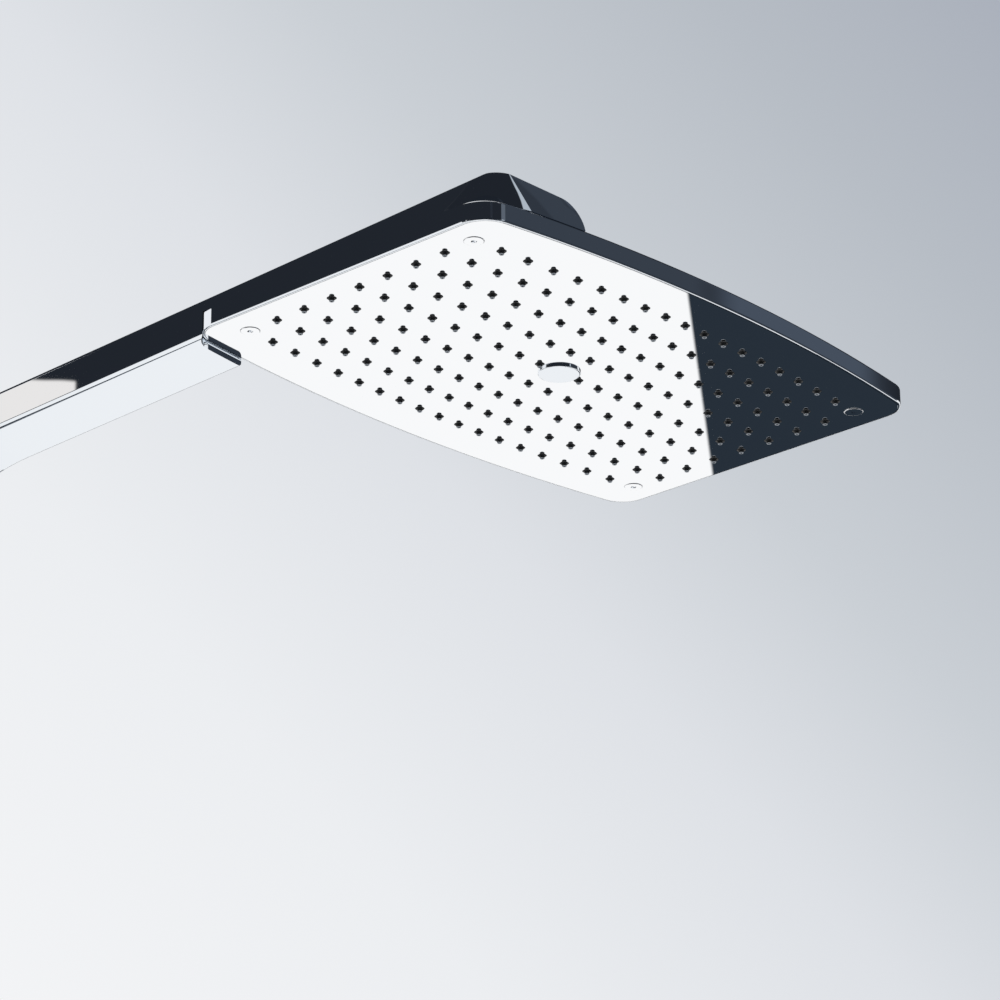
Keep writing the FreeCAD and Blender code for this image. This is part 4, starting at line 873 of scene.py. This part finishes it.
@dataclass
class Studio:
    """Camera, surroundings, lamps and floor."""

    azimuth: float = 47.538
    elevation: float = 21.551
    roll: float = -0.548
    distance: float = 1.951
    aim_right: float = -0.0275
    aim_up: float = -0.0593
    lens: float = 151.23
    sensor_width: float = 36.0
    clip_end: float = 60.0
    floor_drop: float = 2.10
    floor_radius: float = 3.0
    floor_sides: int = 96
    floor_tone: Colour = tone(238, 240, 243)
    even_tone: Colour = tone(226, 229, 233)
    room_tone: Colour = tone(255, 255, 255)
    fall_right: float = 0.74
    fall_up: float = 0.673
    fall_start: float = 0.1693
    fall_span: float = 0.677
    fall_stops: Sequence[tuple[float, Colour]] = (
        (0.0, tone(243, 244, 246)), (0.13, tone(236, 238, 241)), (0.24, tone(222, 225, 230)),
        (0.32, tone(202, 207, 213)), (0.42, tone(183, 189, 197)), (0.50, tone(170, 176, 187)),
        (1.0, tone(226, 230, 235)))
    lamp_aim: Triple = (0.05, -0.2, 0.0)
    lamps: Sequence[Lamp] = (
        Lamp("key", (-1.6, -2.6, 2.6), 1.6, 42.0),
        Lamp("fill", (2.4, -1.4, 1.2), 1.8, 16.0))
    cards: Sequence[Card] = (
        Card("dark ring", (-180.0, 180.0), (11.0, 57.0), tone(36, 40, 47), 2.0),
        Card("rear wall, left end", (-41.28, -37.0), (-5.0, 23.1), tone(252, 246, 241), 0.03),
        Card("rear wall", (-38.0, 36.0), (-5.0, 31.0), tone(254, 254, 255), 0.4),
        Card("rear wall, right end", (36.0, 62.0), (-4.0, 31.0), tone(34, 38, 45), 1.0),
        Card("dark end of the floor", (50.05, 92.0), (-40.0, -14.0), tone(40, 49, 59), 0.03,
             lean=0.119),
        Card("front, low left", (-196.0, -57.0), (-84.0, 13.0), tone(34, 38, 45), 2.0),
        Card("front, low right", (112.0, 166.0), (-84.0, 16.0), tone(52, 58, 67), 2.0),
        Card("front strip, low", (163.0, 169.0), (-84.0, 16.0), tone(188, 196, 204), 0.8),
        Card("front haze", (112.0, 130.0), (14.0, 34.0), tone(76, 85, 98), 2.5),
        Card("front panel", (131.0, 152.0), (14.0, 50.0), tone(60, 67, 77), 2.0),
        Card("front strip, left", (-160.0, -152.0), (12.0, 55.0), tone(44, 49, 57), 1.2),
        Card("front strip, right", (158.0, 168.0), (12.0, 55.0), tone(98, 106, 116), 1.2),
    )

    def view_axes(self) -> tuple[Vector, Vector, Vector]:
        """Right, up and forward directions of the camera."""
        turn, lift = math.radians(self.azimuth), math.radians(self.elevation)
        level_share = math.cos(lift)
        forward = Vector((math.sin(turn) * level_share, math.cos(turn) * level_share, math.sin(lift)))
        level = Vector((math.cos(turn), -math.sin(turn), 0.0))
        upright = level.cross(forward)
        tilt = math.radians(self.roll)
        right = level * math.cos(tilt) + upright * math.sin(tilt)
        return right, right.cross(forward), forward

    def build_camera(self) -> None:
        """Makes the camera at the photograph's viewing angle."""
        low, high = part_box("spray_plate")
        face = Vector(((low.x + high.x) / 2.0, (low.y + high.y) / 2.0, low.z))
        right, up, forward = self.view_axes()
        place = face + right * self.aim_right + up * self.aim_up - forward * self.distance
        data = bpy.data.cameras.new("camera")
        data.lens = self.lens
        data.sensor_width = self.sensor_width
        data.clip_end = self.clip_end
        camera = bpy.data.objects.new("camera", data)
        axes = Matrix((right, up, -forward)).transposed()
        camera.matrix_world = Matrix.Translation(place) @ axes.to_4x4()
        bpy.context.scene.collection.objects.link(camera)
        bpy.context.scene.camera = camera
        log.info("camera at %s", tuple(round(v, 4) for v in place))

    def build_world(self) -> None:
        """Makes the world: a backdrop for the camera, cards for reflections, an even light."""
        world = bpy.data.worlds.new("studio")
        bpy.context.scene.world = world
        world.use_nodes = True
        graph = Graph(world.node_tree)
        direction = graph.node("ShaderNodeTexCoord")["Generated"]
        path = graph.node("ShaderNodeLightPath")
        backdrop = self._backdrop(graph, direction)
        surroundings = self._surroundings(graph, direction)
        seen = graph.node("ShaderNodeBackground", {}, {"Color": backdrop})[0]
        mirrored = graph.node("ShaderNodeBackground", {}, {"Color": surroundings})[0]
        even = graph.node("ShaderNodeBackground", {}, {"Color": self.even_tone})[0]
        glossy = path["Is Glossy Ray"] + path["Is Transmission Ray"]
        lit = graph.node("ShaderNodeMixShader", {}, {0: glossy, 1: even, 2: mirrored})[0]
        whole = graph.node("ShaderNodeMixShader", {}, {0: path["Is Camera Ray"], 1: lit, 2: seen})[0]
        graph.node("ShaderNodeOutputWorld", {}, {"Surface": whole})

    def _backdrop(self, graph: Graph, direction: Sock) -> Sock:
        """Tone of the backdrop, which falls off towards the upper front right.

        Args:
            graph: The world's tree.
            direction: Direction of the ray.

        Returns:
            The backdrop's colour.
        """
        right, up, _ = self.view_axes()
        fall = tuple(right * self.fall_right + up * self.fall_up)
        settings = {"operation": "DOT_PRODUCT"}
        along = graph.node("ShaderNodeVectorMath", settings, {0: direction, 1: fall})["Value"]
        share = (along + self.fall_start) / self.fall_span
        return graph.node("ShaderNodeValToRGB", {"stops": self.fall_stops}, {0: share})["Color"]

    def _surroundings(self, graph: Graph, direction: Sock) -> Sock:
        """What polished surfaces mirror: a white room with the cards in it.

        Args:
            graph: The world's tree.
            direction: Direction of the ray.

        Returns:
            The surroundings' colour.
        """
        axes = graph.node("ShaderNodeSeparateXYZ", {}, {0: direction})
        turn, lift = axes["X"].heading(axes["Y"]), axes["Z"].arcsine()
        colour: Any = self.room_tone
        for card in self.cards:
            centre = (card.azimuth[0] + card.azimuth[1]) / 2.0
            half = (card.azimuth[1] - card.azimuth[0]) / 2.0
            middle = (card.elevation[0] + card.elevation[1]) / 2.0
            tall = (card.elevation[1] - card.elevation[0]) / 2.0
            inside = abs(lift - middle).step(tall - card.soft, tall + card.soft, 1.0, 0.0)
            if half < HALF_TURN:
                offset = turn - centre - (lift - middle) * card.lean
                beside = abs(offset.wrapped(-HALF_TURN, HALF_TURN))
                inside = inside * beside.step(half - card.soft, half + card.soft, 1.0, 0.0)
            colour = graph.mix(inside, colour, card.colour)
        return colour

    def build_lamps(self) -> None:
        """Makes a large soft key lamp and a weaker one beside it."""
        for lamp in self.lamps:
            data = bpy.data.lights.new(lamp.name, "AREA")
            data.shape = "DISK"
            data.size = lamp.width
            data.energy = lamp.power
            stand = bpy.data.objects.new(lamp.name, data)
            stand.location = lamp.place
            aim = Vector(self.lamp_aim) - Vector(lamp.place)
            stand.rotation_euler = aim.to_track_quat("-Z", "Y").to_euler()
            stand.visible_glossy = False
            bpy.context.scene.collection.objects.link(stand)

    def build_floor(self) -> None:
        """Makes a plain pale floor below the column."""
        low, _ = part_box("spray_plate")
        height = low.z - self.floor_drop
        turns = [2.0 * math.pi * i / self.floor_sides for i in range(self.floor_sides)]
        corners = [(self.floor_radius * math.cos(turn), self.floor_radius * math.sin(turn), height)
                   for turn in turns]
        mesh = bpy.data.meshes.new("floor")
        mesh.from_pydata(corners, [], [tuple(range(self.floor_sides))])
        floor = bpy.data.objects.new("floor", mesh)
        bpy.context.scene.collection.objects.link(floor)
        paint = Moulded("floor_paint", self.floor_tone, 0.6, mottle=0.02)
        mesh.materials.append(paint.material())
        floor.visible_glossy = False

    def build(self) -> None:
        """Builds the whole studio."""
        self.build_camera()
        self.build_world()
        self.build_lamps()
        self.build_floor()
        bpy.context.scene.view_settings.view_transform = "Standard"


def main() -> None:
    """Builds the column's looks in order and reports each piece."""
    logging.basicConfig(level=logging.INFO, format="%(message)s")
    Studio().build()
    assemblies: Sequence[SubAssembly] = (
        RainHead(), BarArm(), WallPanel(), WaterWorks(), Controls())
    for assembly in assemblies:
        log.info("%s", type(assembly).__name__)
        assembly.dress()
    for assembly in assemblies:
        assembly.build()


if __name__ == "__main__":
    main()
